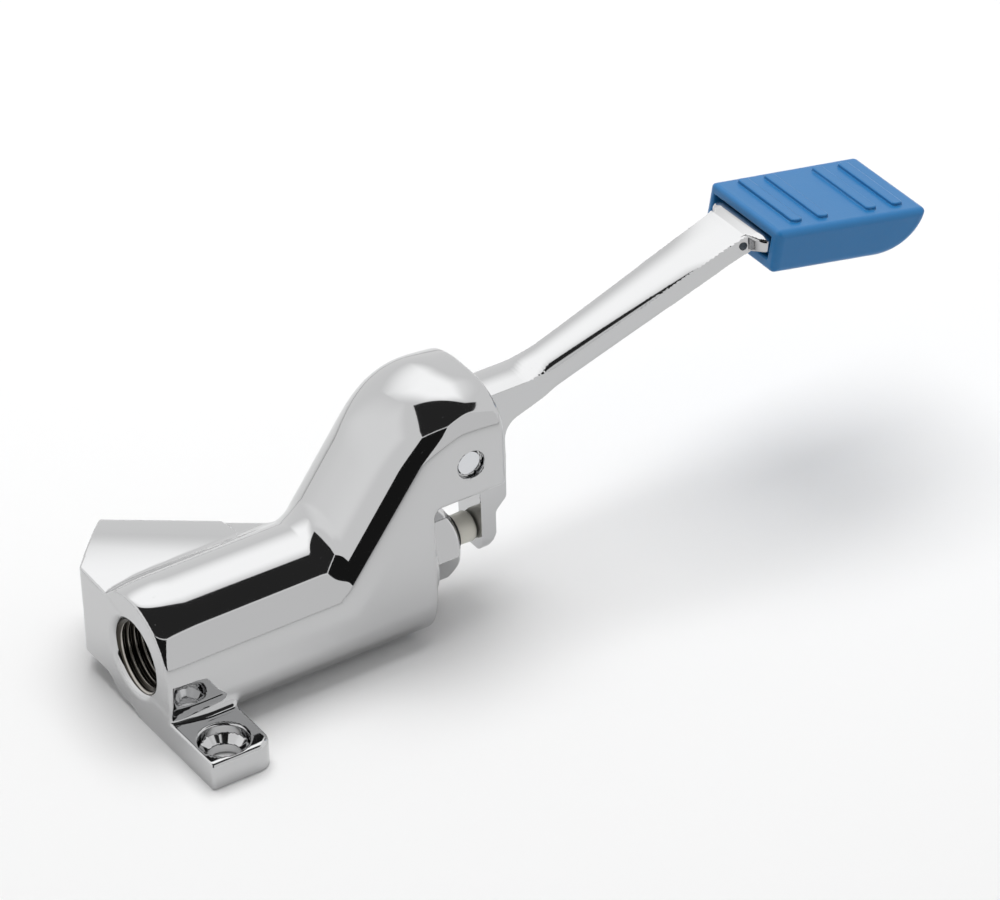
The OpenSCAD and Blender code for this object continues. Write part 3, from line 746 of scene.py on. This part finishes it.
@dataclass(frozen=True)
class Pad(Solid):
    """The moulded sleeve on the pedal: a box with a curved nose, hollow from the back, with raised strips."""

    # Block
    place: PadFrame = PadFrame()
    length: float = 45.4
    half: float = 14.95
    middle: float = -0.45
    flare: float = 0.6
    thick: float = 11.3
    nose: float = 14.0
    edge: float = 1.9
    top_edge: float = 1.3
    back: float = 0.2
    back_edge: float = 1.2
    # Hollow
    hollow_half: float = 12.0
    hollow_len: float = 36.0
    hollow_down: float = 5.5
    hollow_half_t: float = 2.85
    hollow_rim: float = 0.6
    # Raised strips
    strips: tuple[float, ...] = (7.8, 15.8, 30.6, 38.6)
    strip_middle: float = 0.3
    strip_half_w: float = 1.6
    strip_half_l: float = 11.85
    strip_h: float = 0.85
    strip_corner: float = 0.9
    strip_edge: float = 0.3
    strip_root: float = 0.6
    strip_fillet: float = 0.12
    # Box
    low: Triple = (174.0, -15.6, 60.0)
    high: Triple = (222.0, 15.9, 79.6)

    def distance(self, x: Array, y: Array, z: Array) -> Array:
        """The side view with its oval nose, cut to a width that grows to the nose; then hollow and strips."""
        a, n = self.place.local(x, z)
        flat = self.length - self.nose
        oval = (np.hypot(np.maximum(a - flat, 0) / self.nose, n / self.thick) - 1.0) * self.thick
        under = np.where(a < flat, -self.thick - n, np.where(n < 0, oval, a - self.length))
        side = cut(cut(under, n, self.top_edge), -a - self.back, self.back_edge)
        widen = self.flare * a / self.length
        solid = cut(side, np.abs(y - self.middle - widen) - self.half - widen, self.edge)
        walls = np.maximum(np.abs(y) - self.hollow_half, a - self.hollow_len)
        hollow = np.maximum(walls, np.abs(n + self.hollow_down) - self.hollow_half_t)
        solid = carve(solid, hollow, self.hollow_rim)
        near = np.min(np.stack([np.abs(a - s) for s in self.strips]), axis=0)
        ends = np.abs(y - self.strip_middle) - self.strip_half_l
        strip = cut(near - self.strip_half_w, ends, self.strip_corner)
        strip = cut(strip, n - self.strip_h, self.strip_edge)
        return join(solid, np.maximum(strip, -self.strip_root - n), self.strip_fillet)


@dataclass(frozen=True)
class Tongue(Solid):
    """The lever's flat end: a fan that widens from the bar into the pad.

    Each sloping line of its side view is given by the place and height of a point, and its rise.
    """

    place: PadFrame = PadFrame()
    half: float = 7.0
    fan: float = 4.2
    fan_shift: float = 0.6
    fan_x: float = 172.5
    fan_len: float = 3.9
    fan_slope: float = 2.2
    crown: float = 0.18
    crown_half: float = 7.2
    droop: float = 0.8
    droop_width: float = 4.0
    bar_top: Triple = (171.5, 75.08, 0.3575)
    fan_top: Triple = (172.0, 75.25, 0.1)
    fan_top_edge: float = 0.05
    bar_under: Triple = (173.0, 70.6, 0.33)
    under_x: float = 171.0
    under_len: float = 5.0
    pad_top: float = 2.72
    pad_top_edge: float = 0.6
    pad_under: float = 7.3
    under_edge: float = 0.8
    under_scale: float = 0.92
    side_edge: float = 0.5
    start_x: float = 169.5
    end: float = 34.5
    low: Triple = (169.0, -12.0, 62.0)
    high: Triple = (212.0, 12.0, 77.0)

    def distance(self, x: Array, y: Array, z: Array) -> Array:
        """Top faces and underside of bar and pad, blended along x, cut to sides that flare as a parabola."""
        a, n = self.place.local(x, z)
        flare = np.clip((x - self.fan_x) / self.fan_len, 0.0, 1.0)
        steep = np.where((flare > 0.0) & (flare < 1.0), self.fan_slope * (1.0 - flare), 0.0)
        width = flare * (2.0 - flare)
        side = np.abs(y + self.fan_shift * width) - self.half - self.fan * width
        side = side / np.hypot(1.0, steep)
        past = np.maximum(np.abs(y) - self.half, 0.0)
        crown = self.crown * np.maximum(1.0 - (y / self.crown_half) ** 2, 0.0)
        crown = crown - self.droop * (past / self.droop_width) ** 2
        top = cut(above(x, z, self.bar_top) - crown, above(x, z, self.fan_top) - crown, self.fan_top_edge)
        top = cut(top, n + self.pad_top, self.pad_top_edge)
        inside = smooth((x - self.under_x) / self.under_len)
        under = inside * (-self.pad_under - n) - (1.0 - inside) * above(x, z, self.bar_under)
        solid = cut(cut(top, under, self.under_edge) * self.under_scale, side, self.side_edge)
        return np.maximum(np.maximum(solid, a - self.end), self.start_x - x)


@dataclass(frozen=True)
class GlandNut(Solid):
    """The gland nut's outer end: flange, chamfered hexagon and collar.

    Each ring is given by its radius, its middle along the axis and half its length, each step of the bore
    by its radius and the place where it ends or begins.
    """

    axis_z: float = 17.2
    flats: float = 8.8
    hexagon: Point = (77.0, 87.4)
    hexagon_edges: Point = (0.1, 0.3)
    chamfer_r: float = 7.7
    chamfer_rate: float = 1.2
    chamfer_scale: float = 0.64
    chamfer_edge: float = 0.4
    flange: Triple = (12.8, 76.95, 1.25)
    flange_edge: float = 0.4
    flange_fillet: float = 0.3
    shank: Triple = (10.95, 69.0, 7.0)
    collar: Triple = (5.6, 84.4, 4.0)
    collar_edge: float = 0.5
    bores_to: tuple[Point, ...] = ((4.6, 70.2), (2.6, 76.0))
    bores_from: tuple[Point, ...] = ((4.2, 75.0), (4.74, 87.2))
    bore_rim: float = 0.2
    low: Triple = (61.0, -13.0, 4.2)
    high: Triple = (89.2, 13.0, 30.2)

    def distance(self, x: Array, y: Array, z: Array) -> Array:
        """The hexagon cut by a cone, joined to flange, shank and collar, less the stepped bore."""
        z = z - self.axis_z
        r = np.hypot(y, z)
        slanted = np.abs(y) * math.cos(math.pi / 6) + np.abs(z) * math.sin(math.pi / 6)
        start, end = self.hexagon
        hexagon = cut(np.maximum(np.abs(z), slanted) - self.flats, x - end, self.hexagon_edges[1])
        hexagon = cut(hexagon, start - x, self.hexagon_edges[0])
        cone = (r - self.chamfer_r + (x - end) * self.chamfer_rate) * self.chamfer_scale
        hexagon = cut(hexagon, cone, self.chamfer_edge)
        flange, shank, collar = (
            (r - radius, np.abs(x - middle) - half)
            for radius, middle, half in (self.flange, self.shank, self.collar))
        outer = join(hexagon, cut(*flange, self.flange_edge), self.flange_fillet)
        outer = np.minimum(outer, np.maximum(*shank))
        outer = np.minimum(outer, join(hexagon, cut(*collar, self.collar_edge), self.collar_edge))
        steps = [np.maximum(r - radius, x - to) for radius, to in self.bores_to]
        steps += [np.maximum(r - radius, begin - x) for radius, begin in self.bores_from]
        return carve(outer, np.min(np.stack(steps), axis=0), self.bore_rim)


# Turned and wound pieces


@dataclass(frozen=True)
class Lathe:
    """A surface turned round a level axis through a given place."""

    centre: Triple
    direction: Triple
    turns: int = 96

    def axes(self) -> tuple[Array, Array, Array]:
        """Unit vectors along the axis and across it.

        Returns:
            Direction, and two directions square to it.
        """
        d = np.array(self.direction, float)
        d /= np.linalg.norm(d)
        u = np.cross(d, (0.0, 0.0, 1.0))
        return d, u, np.cross(d, u)

    def place(self, along: Array, radius: Array, angle: Array) -> Array:
        """Points at given places along, from and round the axis.

        Args:
            along: Distances along the axis.
            radius: Distances from it.
            angle: Angles round it.

        Returns:
            Points, one row each.
        """
        d, u, v = self.axes()
        ring = np.cos(angle)[..., None] * u + np.sin(angle)[..., None] * v
        points = np.array(self.centre) + along[..., None] * d + radius[..., None] * ring
        return points.reshape(-1, 3)

    def profile(self, line: list[Point]) -> tuple[Array, Array]:
        """Turns a line of (along, radius) points into a surface.

        Args:
            line: Profile from start to end.

        Returns:
            Corners and quads.
        """
        pts = np.array(line, float)
        angle = np.arange(self.turns) * (2 * math.pi / self.turns)
        rows, _ = np.meshgrid(np.arange(len(pts)), angle, indexing="ij")
        grid = self.place(pts[rows, 0], pts[rows, 1], np.broadcast_to(angle, rows.shape))
        return grid, ring_quads(len(pts), self.turns)


def ring_quads(rows: int, turns: int) -> Array:
    """Quads between successive closed rings of corners.

    Args:
        rows: Number of rings.
        turns: Corners in a ring.

    Returns:
        Four corner numbers per face.
    """
    i, j = np.meshgrid(np.arange(rows - 1), np.arange(turns), indexing="ij")
    a, b = i * turns + j, i * turns + (j + 1) % turns
    return np.stack([a, b, b + turns, a + turns], -1).reshape(-1, 4)


@dataclass(frozen=True)
class PipeThread:
    """An internal pipe thread: a triangle wave with flats along a helix, with a lip at its mouth."""

    lathe: Lathe
    length: float
    pitch: float = 1.814
    outer: float = 9.38
    inner: float = 8.5
    root_flat: float = 0.14
    flank: float = 0.72
    fade_from: float = 0.2
    fade_len: float = 0.8
    lip: float = 0.33
    lip_len: float = 1.2
    rows_per_pitch: int = 18

    def surface(self) -> tuple[Array, Array, Array]:
        """Corners and quads of the threaded wall, and how near each corner is to the thread's crest.

        Returns:
            Corners, quads, and shares from 0 at the root to 1 at the crest.
        """
        rows = int(self.length / self.pitch * self.rows_per_pitch)
        turns = self.lathe.turns
        angle = np.arange(turns) * (2 * math.pi / turns)
        along, angle = np.meshgrid(np.linspace(0.0, self.length, rows), angle, indexing="ij")
        phase = along / self.pitch - angle / (2 * math.pi)
        wave = np.abs((phase % 1.0) * 2.0 - 1.0)
        rise = np.clip((wave - self.root_flat) / self.flank, 0.0, 1.0)
        fade = smooth((along - self.fade_from) / self.fade_len)
        lip = self.lip * np.maximum(1.0 - along / self.lip_len, 0.0) ** 2
        radius = self.outer + lip - (self.outer - self.inner) * rise * fade
        return self.lathe.place(along, radius, angle), ring_quads(rows, turns), rise.ravel()


@dataclass(frozen=True)
class Coil:
    """A round wire wound along the barrel's axis, its end turns closed up."""

    start: float
    length: float
    radius: float = 6.2
    wire: float = 0.55
    turns: float = 4.0
    lead: float = 0.5
    axis_z: float = 17.2
    rings: int = 240
    sides: int = 14

    def surface(self) -> tuple[Array, Array]:
        """Corners and quads of the wire, whose advance eases in and out over the lead at each end.

        Returns:
            Corners and quads.
        """
        t = np.linspace(0.0, self.turns, self.rings)
        first = t * t / (2 * self.lead)
        last = self.turns - self.lead - (self.turns - t) ** 2 / (2 * self.lead)
        eased = np.where(t > self.turns - self.lead, last, t - self.lead / 2)
        eased = np.where(t < self.lead, first, eased)
        rise = self.wire + (self.length - 2 * self.wire) * eased / (self.turns - self.lead)
        s = np.arange(self.sides) * (2 * math.pi / self.sides)
        a = 2 * math.pi * t[:, None]
        r = self.radius + self.wire * np.cos(s)[None]
        x = self.start + rise[:, None] + self.wire * np.sin(s)[None]
        points = np.stack([x, r * np.cos(a), self.axis_z + r * np.sin(a)], -1).reshape(-1, 3)
        return points, ring_quads(self.rings, self.sides)


# Finishes


class MixSocket(IntEnum):
    """Places of the colour sockets of a mix node, whose names repeat."""

    SHARE = 0
    FIRST = 6
    SECOND = 7
    RESULT = 2


@dataclass(frozen=True)
class Finish:
    """A material: colour, metalness and roughness, with fine unevenness from noise in object space."""

    name: str
    color: Triple
    metallic: float = 0.0
    roughness: float = 0.4
    spread: float = 0.0
    spread_scale: float = 60.0
    spread_detail: float = 3.0
    bump: float = 0.0
    bump_scale: float = 900.0
    bump_detail: float = 2.0
    bump_depth: float = 0.0002
    specular: float = 0.5
    # Colour of a painted highlight along a thread's crests, where the mesh's crest value is high.
    crest: Triple | None = None
    crest_from: float = 0.86

    def build(self) -> bpy.types.Material:
        """Makes the node material.

        Returns:
            The material.
        """
        material = bpy.data.materials.new(self.name)
        material.use_nodes = True
        tree = material.node_tree
        inputs = tree.nodes["Principled BSDF"].inputs
        inputs["Base Color"].default_value = (*self.color, 1.0)
        inputs["Metallic"].default_value = self.metallic
        inputs["Roughness"].default_value = self.roughness
        inputs["Specular IOR Level"].default_value = self.specular
        if self.spread:
            span = tree.nodes.new("ShaderNodeMapRange")
            span.inputs["To Min"].default_value = max(self.roughness - self.spread, 0.0)
            span.inputs["To Max"].default_value = self.roughness + self.spread
            tree.links.new(self._noise(tree, self.spread_scale, self.spread_detail), span.inputs["Value"])
            tree.links.new(span.outputs["Result"], inputs["Roughness"])
        if self.crest:
            tree.links.new(self._painted_crest_highlight(tree), inputs["Base Color"])
        if self.bump:
            bump = tree.nodes.new("ShaderNodeBump")
            bump.inputs["Strength"].default_value = self.bump
            bump.inputs["Distance"].default_value = self.bump_depth
            tree.links.new(self._noise(tree, self.bump_scale, self.bump_detail), bump.inputs["Height"])
            tree.links.new(bump.outputs["Normal"], inputs["Normal"])
        return material

    @staticmethod
    def _noise(tree: bpy.types.NodeTree, scale: float, detail: float) -> bpy.types.NodeSocket:
        """Adds noise on object coordinates and returns its output."""
        place = tree.nodes.new("ShaderNodeTexCoord")
        noise = tree.nodes.new("ShaderNodeTexNoise")
        noise.inputs["Scale"].default_value = scale
        noise.inputs["Detail"].default_value = detail
        tree.links.new(place.outputs["Object"], noise.inputs["Vector"])
        return noise.outputs["Fac"]

    def _painted_crest_highlight(self, tree: bpy.types.NodeTree) -> bpy.types.NodeSocket:
        """Adds a painted highlight, a blend to the lighter crest colour where the mesh's crest value is high,
        and returns its output.
        """
        share = tree.nodes.new("ShaderNodeAttribute")
        share.attribute_name = "crest"
        narrow = tree.nodes.new("ShaderNodeMapRange")
        narrow.inputs["From Min"].default_value = self.crest_from
        tree.links.new(share.outputs["Fac"], narrow.inputs["Value"])
        blend = tree.nodes.new("ShaderNodeMix")
        blend.data_type = "RGBA"
        blend.inputs[MixSocket.FIRST].default_value = (*self.color, 1.0)
        blend.inputs[MixSocket.SECOND].default_value = (*self.crest, 1.0)
        tree.links.new(narrow.outputs["Result"], blend.inputs[MixSocket.SHARE])
        return blend.outputs[MixSocket.RESULT]


FINISHES: dict[Slot, Finish] = {
    Slot.CHROME: Finish("polished chrome", (0.53, 0.532, 0.536), 1.0, 0.05, 0.015, spread_scale=40.0),
    Slot.BRASS: Finish("turned brass", (0.78, 0.58, 0.28), 1.0, 0.22, 0.05),
    Slot.STEEL: Finish("bright steel", (0.66, 0.67, 0.69), 1.0, 0.18, 0.05),
    Slot.RUBBER: Finish("black rubber", (0.012, 0.012, 0.013), 0.0, 0.55, 0.05),
    Slot.FIBRE: Finish("red fibre", (0.30, 0.07, 0.05), 0.0, 0.7, 0.05),
    Slot.NYLON: Finish("natural nylon", (0.78, 0.76, 0.68), 0.0, 0.42, 0.05),
    Slot.PAD: Finish("blue plastic", (0.014, 0.165, 0.41), 0.0, 0.32, 0.04, spread_scale=200.0,
                     bump=0.12, bump_scale=1800.0, specular=0.42),
}
# Dark thread colour, with a painted highlight along the crests in place of the crests' glints.
THREAD_CREST_HIGHLIGHT = Finish("bare thread", (0.05, 0.045, 0.038), 1.0, 0.22, 0.05, crest=(0.42, 0.40, 0.37))
# Dark colour of the discs at the tongue pin, painted shade of the pin's hole in the lever.
PIN_HOLE_SHADE = Finish("painted pin hole shade", (0.045, 0.06, 0.075), 0.0, 0.5)
FLOOR = Finish("floor", (0.9, 0.9, 0.9), 0.0, 0.9)


# Putting the model together


@dataclass
class Workshop:
    """Makes meshes in the part's frame and hands them to their bodies."""

    inlet_x: float
    materials: dict[Slot, bpy.types.Material]
    coarse: bool
    coarse_factor: float = 1.8

    def mesh(self, name: str, points: Array, quads: Array, normals: Array | None = None) -> bpy.types.Object:
        """Makes an object from corners given in millimetres from the inlet face.

        Args:
            name: Object's name.
            points: Corners.
            quads: Faces.
            normals: Unit normals at the corners, or at each face's corners, or None to smooth the faces.

        Returns:
            The object.
        """
        data = bpy.data.meshes.new(name)
        places = (points + np.array((self.inlet_x, 0.0, 0.0))) * MM
        data.from_pydata(places.tolist(), [], quads.tolist())
        data.polygons.foreach_set("use_smooth", np.ones(len(quads), bool))
        if normals is not None and len(normals) == len(points):
            data.normals_split_custom_set_from_vertices(normals.tolist())
        elif normals is not None:
            data.normals_split_custom_set(normals.tolist())
        data.update()
        made = bpy.data.objects.new(name, data)
        bpy.context.scene.collection.objects.link(made)
        log.info("%s: %d corners, %d faces", name, len(points), len(quads))
        return made

    def fit(self, made: bpy.types.Object, body: Body, slot: Slot, *nodes: str,
            finish: bpy.types.Material | None = None) -> None:
        """Gives an object its finish and body, and the CAD nodes that it stands for.

        Args:
            made: The object.
            body: Body that carries it.
            slot: Slot that it belongs to.
            nodes: CAD nodes that it replaces.
            finish: Its finish where that isn't the slot's own.
        """
        made.data.materials.clear()
        made.data.materials.append(finish or self.materials[slot])
        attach(made, body.value)
        if nodes:
            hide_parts(*nodes)

    def solid(self, name: str, solid: Solid, step: float, crisp: bool = False) -> bpy.types.Object:
        """Skins a solid.

        Args:
            name: Object's name.
            solid: The solid.
            step: Grid step in millimetres.
            crisp: Whether sharp edges are shaded as such.

        Returns:
            The object.
        """
        grid = step * self.coarse_factor if self.coarse else step
        points, quads, normals = Skin(grid).surface(solid)
        if crisp:
            normals = Skin.crisp(points, quads, normals)
        return self.mesh(name, points, quads, normals)


@dataclass
class ValveAssembly:
    """Everything that stays with the casting, and the stem's button."""

    shop: Workshop
    casting: Casting = Casting()
    casting_step: float = 0.6
    nut_step: float = 0.4
    thread_in: float = 1.0
    thread_len: float = 10.0
    spring_x: float = 13.54
    spring_len: float = 9.88

    def build(self) -> None:
        """Makes the casting, the threads in its ports, the gland nut, the button and the spring."""
        shop = self.shop
        casting = shop.solid("casting", self.casting, self.casting_step)
        shop.fit(casting, Body.VALVE, Slot.CHROME, "valve_body")
        self.threads()
        nut = shop.solid("gland_nut_skin", GlandNut(), self.nut_step)
        shop.fit(nut, Body.VALVE, Slot.CHROME, "gland_nut")
        self.button()
        self.spring()

    def threads(self) -> None:
        """Makes the threaded walls of both ports, a little inside their mouths."""
        body = self.casting
        a = math.radians(body.outlet_angle)
        reach = body.outlet_len - self.thread_in
        end = (body.outlet_x - reach * math.cos(a), reach * math.sin(a), body.axis_z)
        ports = {
            "inlet_thread": Lathe((self.thread_in, 0.0, body.axis_z), (1.0, 0.0, 0.0)),
            "outlet_thread": Lathe(end, (math.cos(a), -math.sin(a), 0.0)),
        }
        # The threads' finish is dark, with a painted highlight along their crests.
        crest_highlit = THREAD_CREST_HIGHLIGHT.build()
        for name, lathe in ports.items():
            points, quads, crest = PipeThread(lathe, self.thread_len).surface()
            thread = self.shop.mesh(name, points, quads)
            layer = thread.data.attributes.new("crest", "FLOAT", "POINT")
            layer.data.foreach_set("value", crest.astype(np.float32))
            self.shop.fit(thread, Body.VALVE, Slot.CHROME, finish=crest_highlit)

    def button(self) -> None:
        """Makes the stem's button, a turned knob as long as its CAD node."""
        shop = self.shop
        low, high = (corner.x / MM - shop.inlet_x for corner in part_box("plunger_button"))
        end = high - low
        button = Lathe((low, 0.0, self.casting.axis_z), (1.0, 0.0, 0.0)).profile([
            (0.0, 0.0), (0.0, 3.55), (end - 4.0, 3.85), (end - 0.8, 3.95), (end - 0.2, 3.7), (end, 3.1),
            (end, 0.0)])
        shop.fit(shop.mesh("button", *button), Body.STEM, Slot.NYLON, "plunger_button")

    def spring(self) -> None:
        """Makes the return spring and gives it a mesh of its own."""
        shop, body = self.shop, self.casting
        spring = shop.mesh("return_coil", *Coil(self.spring_x, self.spring_len).surface())
        shop.fit(spring, Body.VALVE, Slot.STEEL, "return_spring")
        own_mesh(spring)


@dataclass
class PedalAssembly:
    """Lever, tongue, pad, and two dark discs at the tongue's cross pin that paint the shade of its hole."""

    shop: Workshop
    lever_step: float = 0.38
    tongue_step: float = 0.4
    pad_step: float = 0.36
    pin_at: Point = (171.5, 72.75)
    pin_y: float = 6.95
    pin_r: float = 1.05
    pin_out: float = 0.62
    pin_turns: int = 32

    def build(self) -> None:
        """Makes the lever, its fan-shaped tongue, the pad, and two dark discs at the pin that paint the shade
        of its hole.
        """
        shop = self.shop
        lever = shop.solid("lever", Lever(), self.lever_step, crisp=True)
        shop.fit(lever, Body.PEDAL, Slot.CHROME, "pedal_lever")
        shop.fit(shop.solid("tongue", Tongue(), self.tongue_step), Body.PEDAL, Slot.CHROME, "pedal_tongue")
        shop.fit(shop.solid("pad", Pad(), self.pad_step), Body.PEDAL, Slot.PAD, "pedal_pad")
        # The pin's ends are dark discs whose colour is painted shade of the hole round the pin.
        hole_shade = PIN_HOLE_SHADE.build()
        line = [(0.0, self.pin_r), (self.pin_out, self.pin_r), (self.pin_out, 0.0)]
        for name, side in (("pin_hole_shade_near", -1.0), ("pin_hole_shade_far", 1.0)):
            place = (self.pin_at[0], side * self.pin_y, self.pin_at[1])
            disc = Lathe(place, (0.0, side, 0.0), self.pin_turns).profile(line)
            shop.fit(shop.mesh(name, *disc), Body.PEDAL, Slot.STEEL, finish=hole_shade)


# Camera and studio


@dataclass(frozen=True)
class Lens:
    """The camera, from the photograph's perspective: angles in degrees, distances in millimetres."""

    turn: float = 31.72
    rise: float = 34.33
    roll: float = -2.18
    distance: float = 1375.39
    shift: Point = (66.89, 79.94)
    focal_px: float = 5873.7
    width_px: float = 1000.0
    sensor: float = 36.0
    clip: Point = (0.05, 50.0)
    origin_y: float = 35.84

    def build(self, inlet_x: float) -> None:
        """Places the camera: turned about the vertical, raised, rolled, then moved back along its view.

        Args:
            inlet_x: Place of the inlet face in the part's frame, in millimetres.
        """
        a, e, r = (math.radians(v) for v in (self.turn, self.rise, self.roll))
        right = np.array((math.cos(a), -math.sin(a), 0.0))
        back = np.array((-math.sin(a) * math.cos(e), -math.cos(a) * math.cos(e), math.sin(e)))
        up = np.cross(back, right)
        tilted = math.cos(r) * right + math.sin(r) * up
        axes = np.array((tilted, math.cos(r) * up - math.sin(r) * right, back))
        place = np.array((*self.shift, self.distance)) @ axes
        place = (place + np.array((inlet_x, -self.origin_y, 0.0))) * MM
        data = bpy.data.cameras.new("camera")
        data.sensor_width = self.sensor
        data.lens = self.focal_px / self.width_px * data.sensor_width
        data.clip_start, data.clip_end = self.clip
        camera = bpy.data.objects.new("camera", data)
        matrix = np.eye(4)
        matrix[:3, :3], matrix[:3, 3] = axes.T, place
        camera.matrix_world = Matrix(matrix.tolist())
        bpy.context.scene.collection.objects.link(camera)
        bpy.context.scene.camera = camera


@dataclass(frozen=True)
class Panel:
    """A studio panel round the object, seen only in reflections.

    Its corners are directions from the object, as turn from +x and height above the horizon in degrees.
    It glows evenly round its middle and fades to its rim.
    """

    name: str
    corners: tuple[Point, ...]
    core: float
    rim: float
    fade_from: float = 0.35
    radius: float = 2.6
    first_ring: float = 0.01
    rings: int = 12
    steps: int = 8

    def build(self) -> None:
        """Makes the panel as rings between its middle and its rim, with the glow stored at the corners."""
        turn, rise = np.radians(np.array(self.corners)).T
        level = np.cos(rise)
        ends = self.radius * np.stack([level * np.cos(turn), level * np.sin(turn), np.sin(rise)], 1)
        share = np.linspace(0.0, 1.0, self.steps, endpoint=False)[None, :, None]
        rim = (ends[:, None] * (1 - share) + np.roll(ends, -1, 0)[:, None] * share).reshape(-1, 3)
        reach = np.linspace(self.first_ring, 1.0, self.rings)
        middle = ends.mean(0)
        places = middle + reach[:, None, None] * (rim - middle)[None]
        glow = self.core + (self.rim - self.core) * smooth((reach - self.fade_from) / (1.0 - self.fade_from))
        data = bpy.data.meshes.new(self.name)
        data.from_pydata(places.reshape(-1, 3).tolist(), [], ring_quads(self.rings, len(rim)).tolist())
        layer = data.attributes.new("glow", "FLOAT", "POINT")
        layer.data.foreach_set("value", np.repeat(glow, len(rim)).astype(np.float32))
        data.materials.append(self.material())
        panel = bpy.data.objects.new(self.name, data)
        bpy.context.scene.collection.objects.link(panel)
        panel.visible_camera = False
        panel.visible_diffuse = False
        panel.visible_shadow = False

    def material(self) -> bpy.types.Material:
        """Makes the glowing material, which takes its strength from the mesh.

        Returns:
            The material.
        """
        material = bpy.data.materials.new(self.name)
        material.use_nodes = True
        nodes, links = material.node_tree.nodes, material.node_tree.links
        nodes.clear()
        glow = nodes.new("ShaderNodeEmission")
        strength = nodes.new("ShaderNodeAttribute")
        strength.attribute_name = "glow"
        links.new(strength.outputs["Fac"], glow.inputs["Strength"])
        out = nodes.new("ShaderNodeOutputMaterial")
        links.new(glow.outputs["Emission"], out.inputs["Surface"])
        return material


PANELS = (
    Panel("flag_above", (
        (114.9, 57), (-20.8, 52), (-42.5, 43), (-83.5, 47.5), (-145.8, 53.5), (-165.7, 60)), 0.03, 0.03),
    Panel("flag_camera", (
        (-145, 52), (-84.5, 46), (-92.4, 31), (-106.7, -1), (-152, -1), (-148.5, 20)), 0.014, 0.014),
    Panel("softbox", ((115, 32), (70, 20), (35, 40), (-17, 54), (10, 78), (112, 66)), 1.68, 0.98),
    Panel("card_left", ((105, 3), (105, 50), (140, 54), (180, 50), (180, 3)), 1.16, 1.0),
    Panel("card_front", ((-105, -1), (-46, -1), (-46, 42), (-84, 45), (-92, 31)), 0.88, 0.88),
)


@dataclass(frozen=True)
class Studio:
    """White room: a bright floor and surround, one soft lamp above, and panels for the metal to reflect."""

    panels: tuple[Panel, ...] = PANELS
    floor_size: float = 8.0
    surround: float = 1.0
    fill: float = 0.44
    key_power: float = 12.6
    key_size: float = 1.0
    key_at: Triple = (0.25, 0.3, 1.2)

    def world(self) -> bpy.types.World:
        """Makes the white surround, which lights matt surfaces at a lower level than it shows.

        Returns:
            The world.
        """
        world = bpy.data.worlds.new("surround")
        world.use_nodes = True
        nodes, links = world.node_tree.nodes, world.node_tree.links
        path = nodes.new("ShaderNodeLightPath")
        level = nodes.new("ShaderNodeMapRange")
        level.inputs["To Min"].default_value = self.surround
        level.inputs["To Max"].default_value = self.fill
        links.new(path.outputs["Is Diffuse Ray"], level.inputs["Value"])
        links.new(level.outputs["Result"], nodes["Background"].inputs["Strength"])
        nodes["Background"].inputs["Color"].default_value = (1.0, 1.0, 1.0, 1.0)
        return world

    def build(self) -> None:
        """Makes floor, surround, lamp and panels."""
        scene = bpy.context.scene
        scene.view_settings.view_transform = "Standard"
        scene.world = self.world()
        half = self.floor_size / 2
        data = bpy.data.meshes.new("floor")
        corners = [(-half, -half, 0), (half, -half, 0), (half, half, 0), (-half, half, 0)]
        data.from_pydata(corners, [], [(0, 1, 2, 3)])
        data.materials.append(FLOOR.build())
        floor = bpy.data.objects.new("floor", data)
        scene.collection.objects.link(floor)
        lamp = bpy.data.lights.new("key", "AREA")
        lamp.energy = self.key_power
        lamp.size = self.key_size
        key = bpy.data.objects.new("key", lamp)
        key.matrix_world = Matrix.Translation(self.key_at)
        key.visible_glossy = False
        scene.collection.objects.link(key)
        for panel in self.panels:
            panel.build()


# The whole picture


@dataclass
class FootValve:
    """The whole picture: model, finishes, studio and camera."""

    studio: Studio = Studio()
    lens: Lens = Lens()

    def dress(self, materials: dict[Slot, bpy.types.Material]) -> None:
        """Gives every CAD node its slot's finish.

        Args:
            materials: Finish of each slot.
        """
        for part in frame["record"]["subparts"]:
            node = frame["nodes"][part["node"]]
            node.data.materials.clear()
            node.data.materials.append(materials[Slot(part["material_slot"])])

    def build(self) -> None:
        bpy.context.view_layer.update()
        inlet_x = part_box("valve_body")[0].x / MM
        materials = {slot: finish.build() for slot, finish in FINISHES.items()}
        self.dress(materials)
        shop = Workshop(inlet_x, materials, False)
        ValveAssembly(shop).build()
        PedalAssembly(shop).build()
        self.studio.build()
        self.lens.build(inlet_x)
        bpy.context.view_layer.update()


def main() -> None:
    """Builds the valve, its studio and its camera, and reports each piece."""
    logging.basicConfig(level=logging.INFO)
    FootValve().build()


if __name__ == "__main__":
    main()
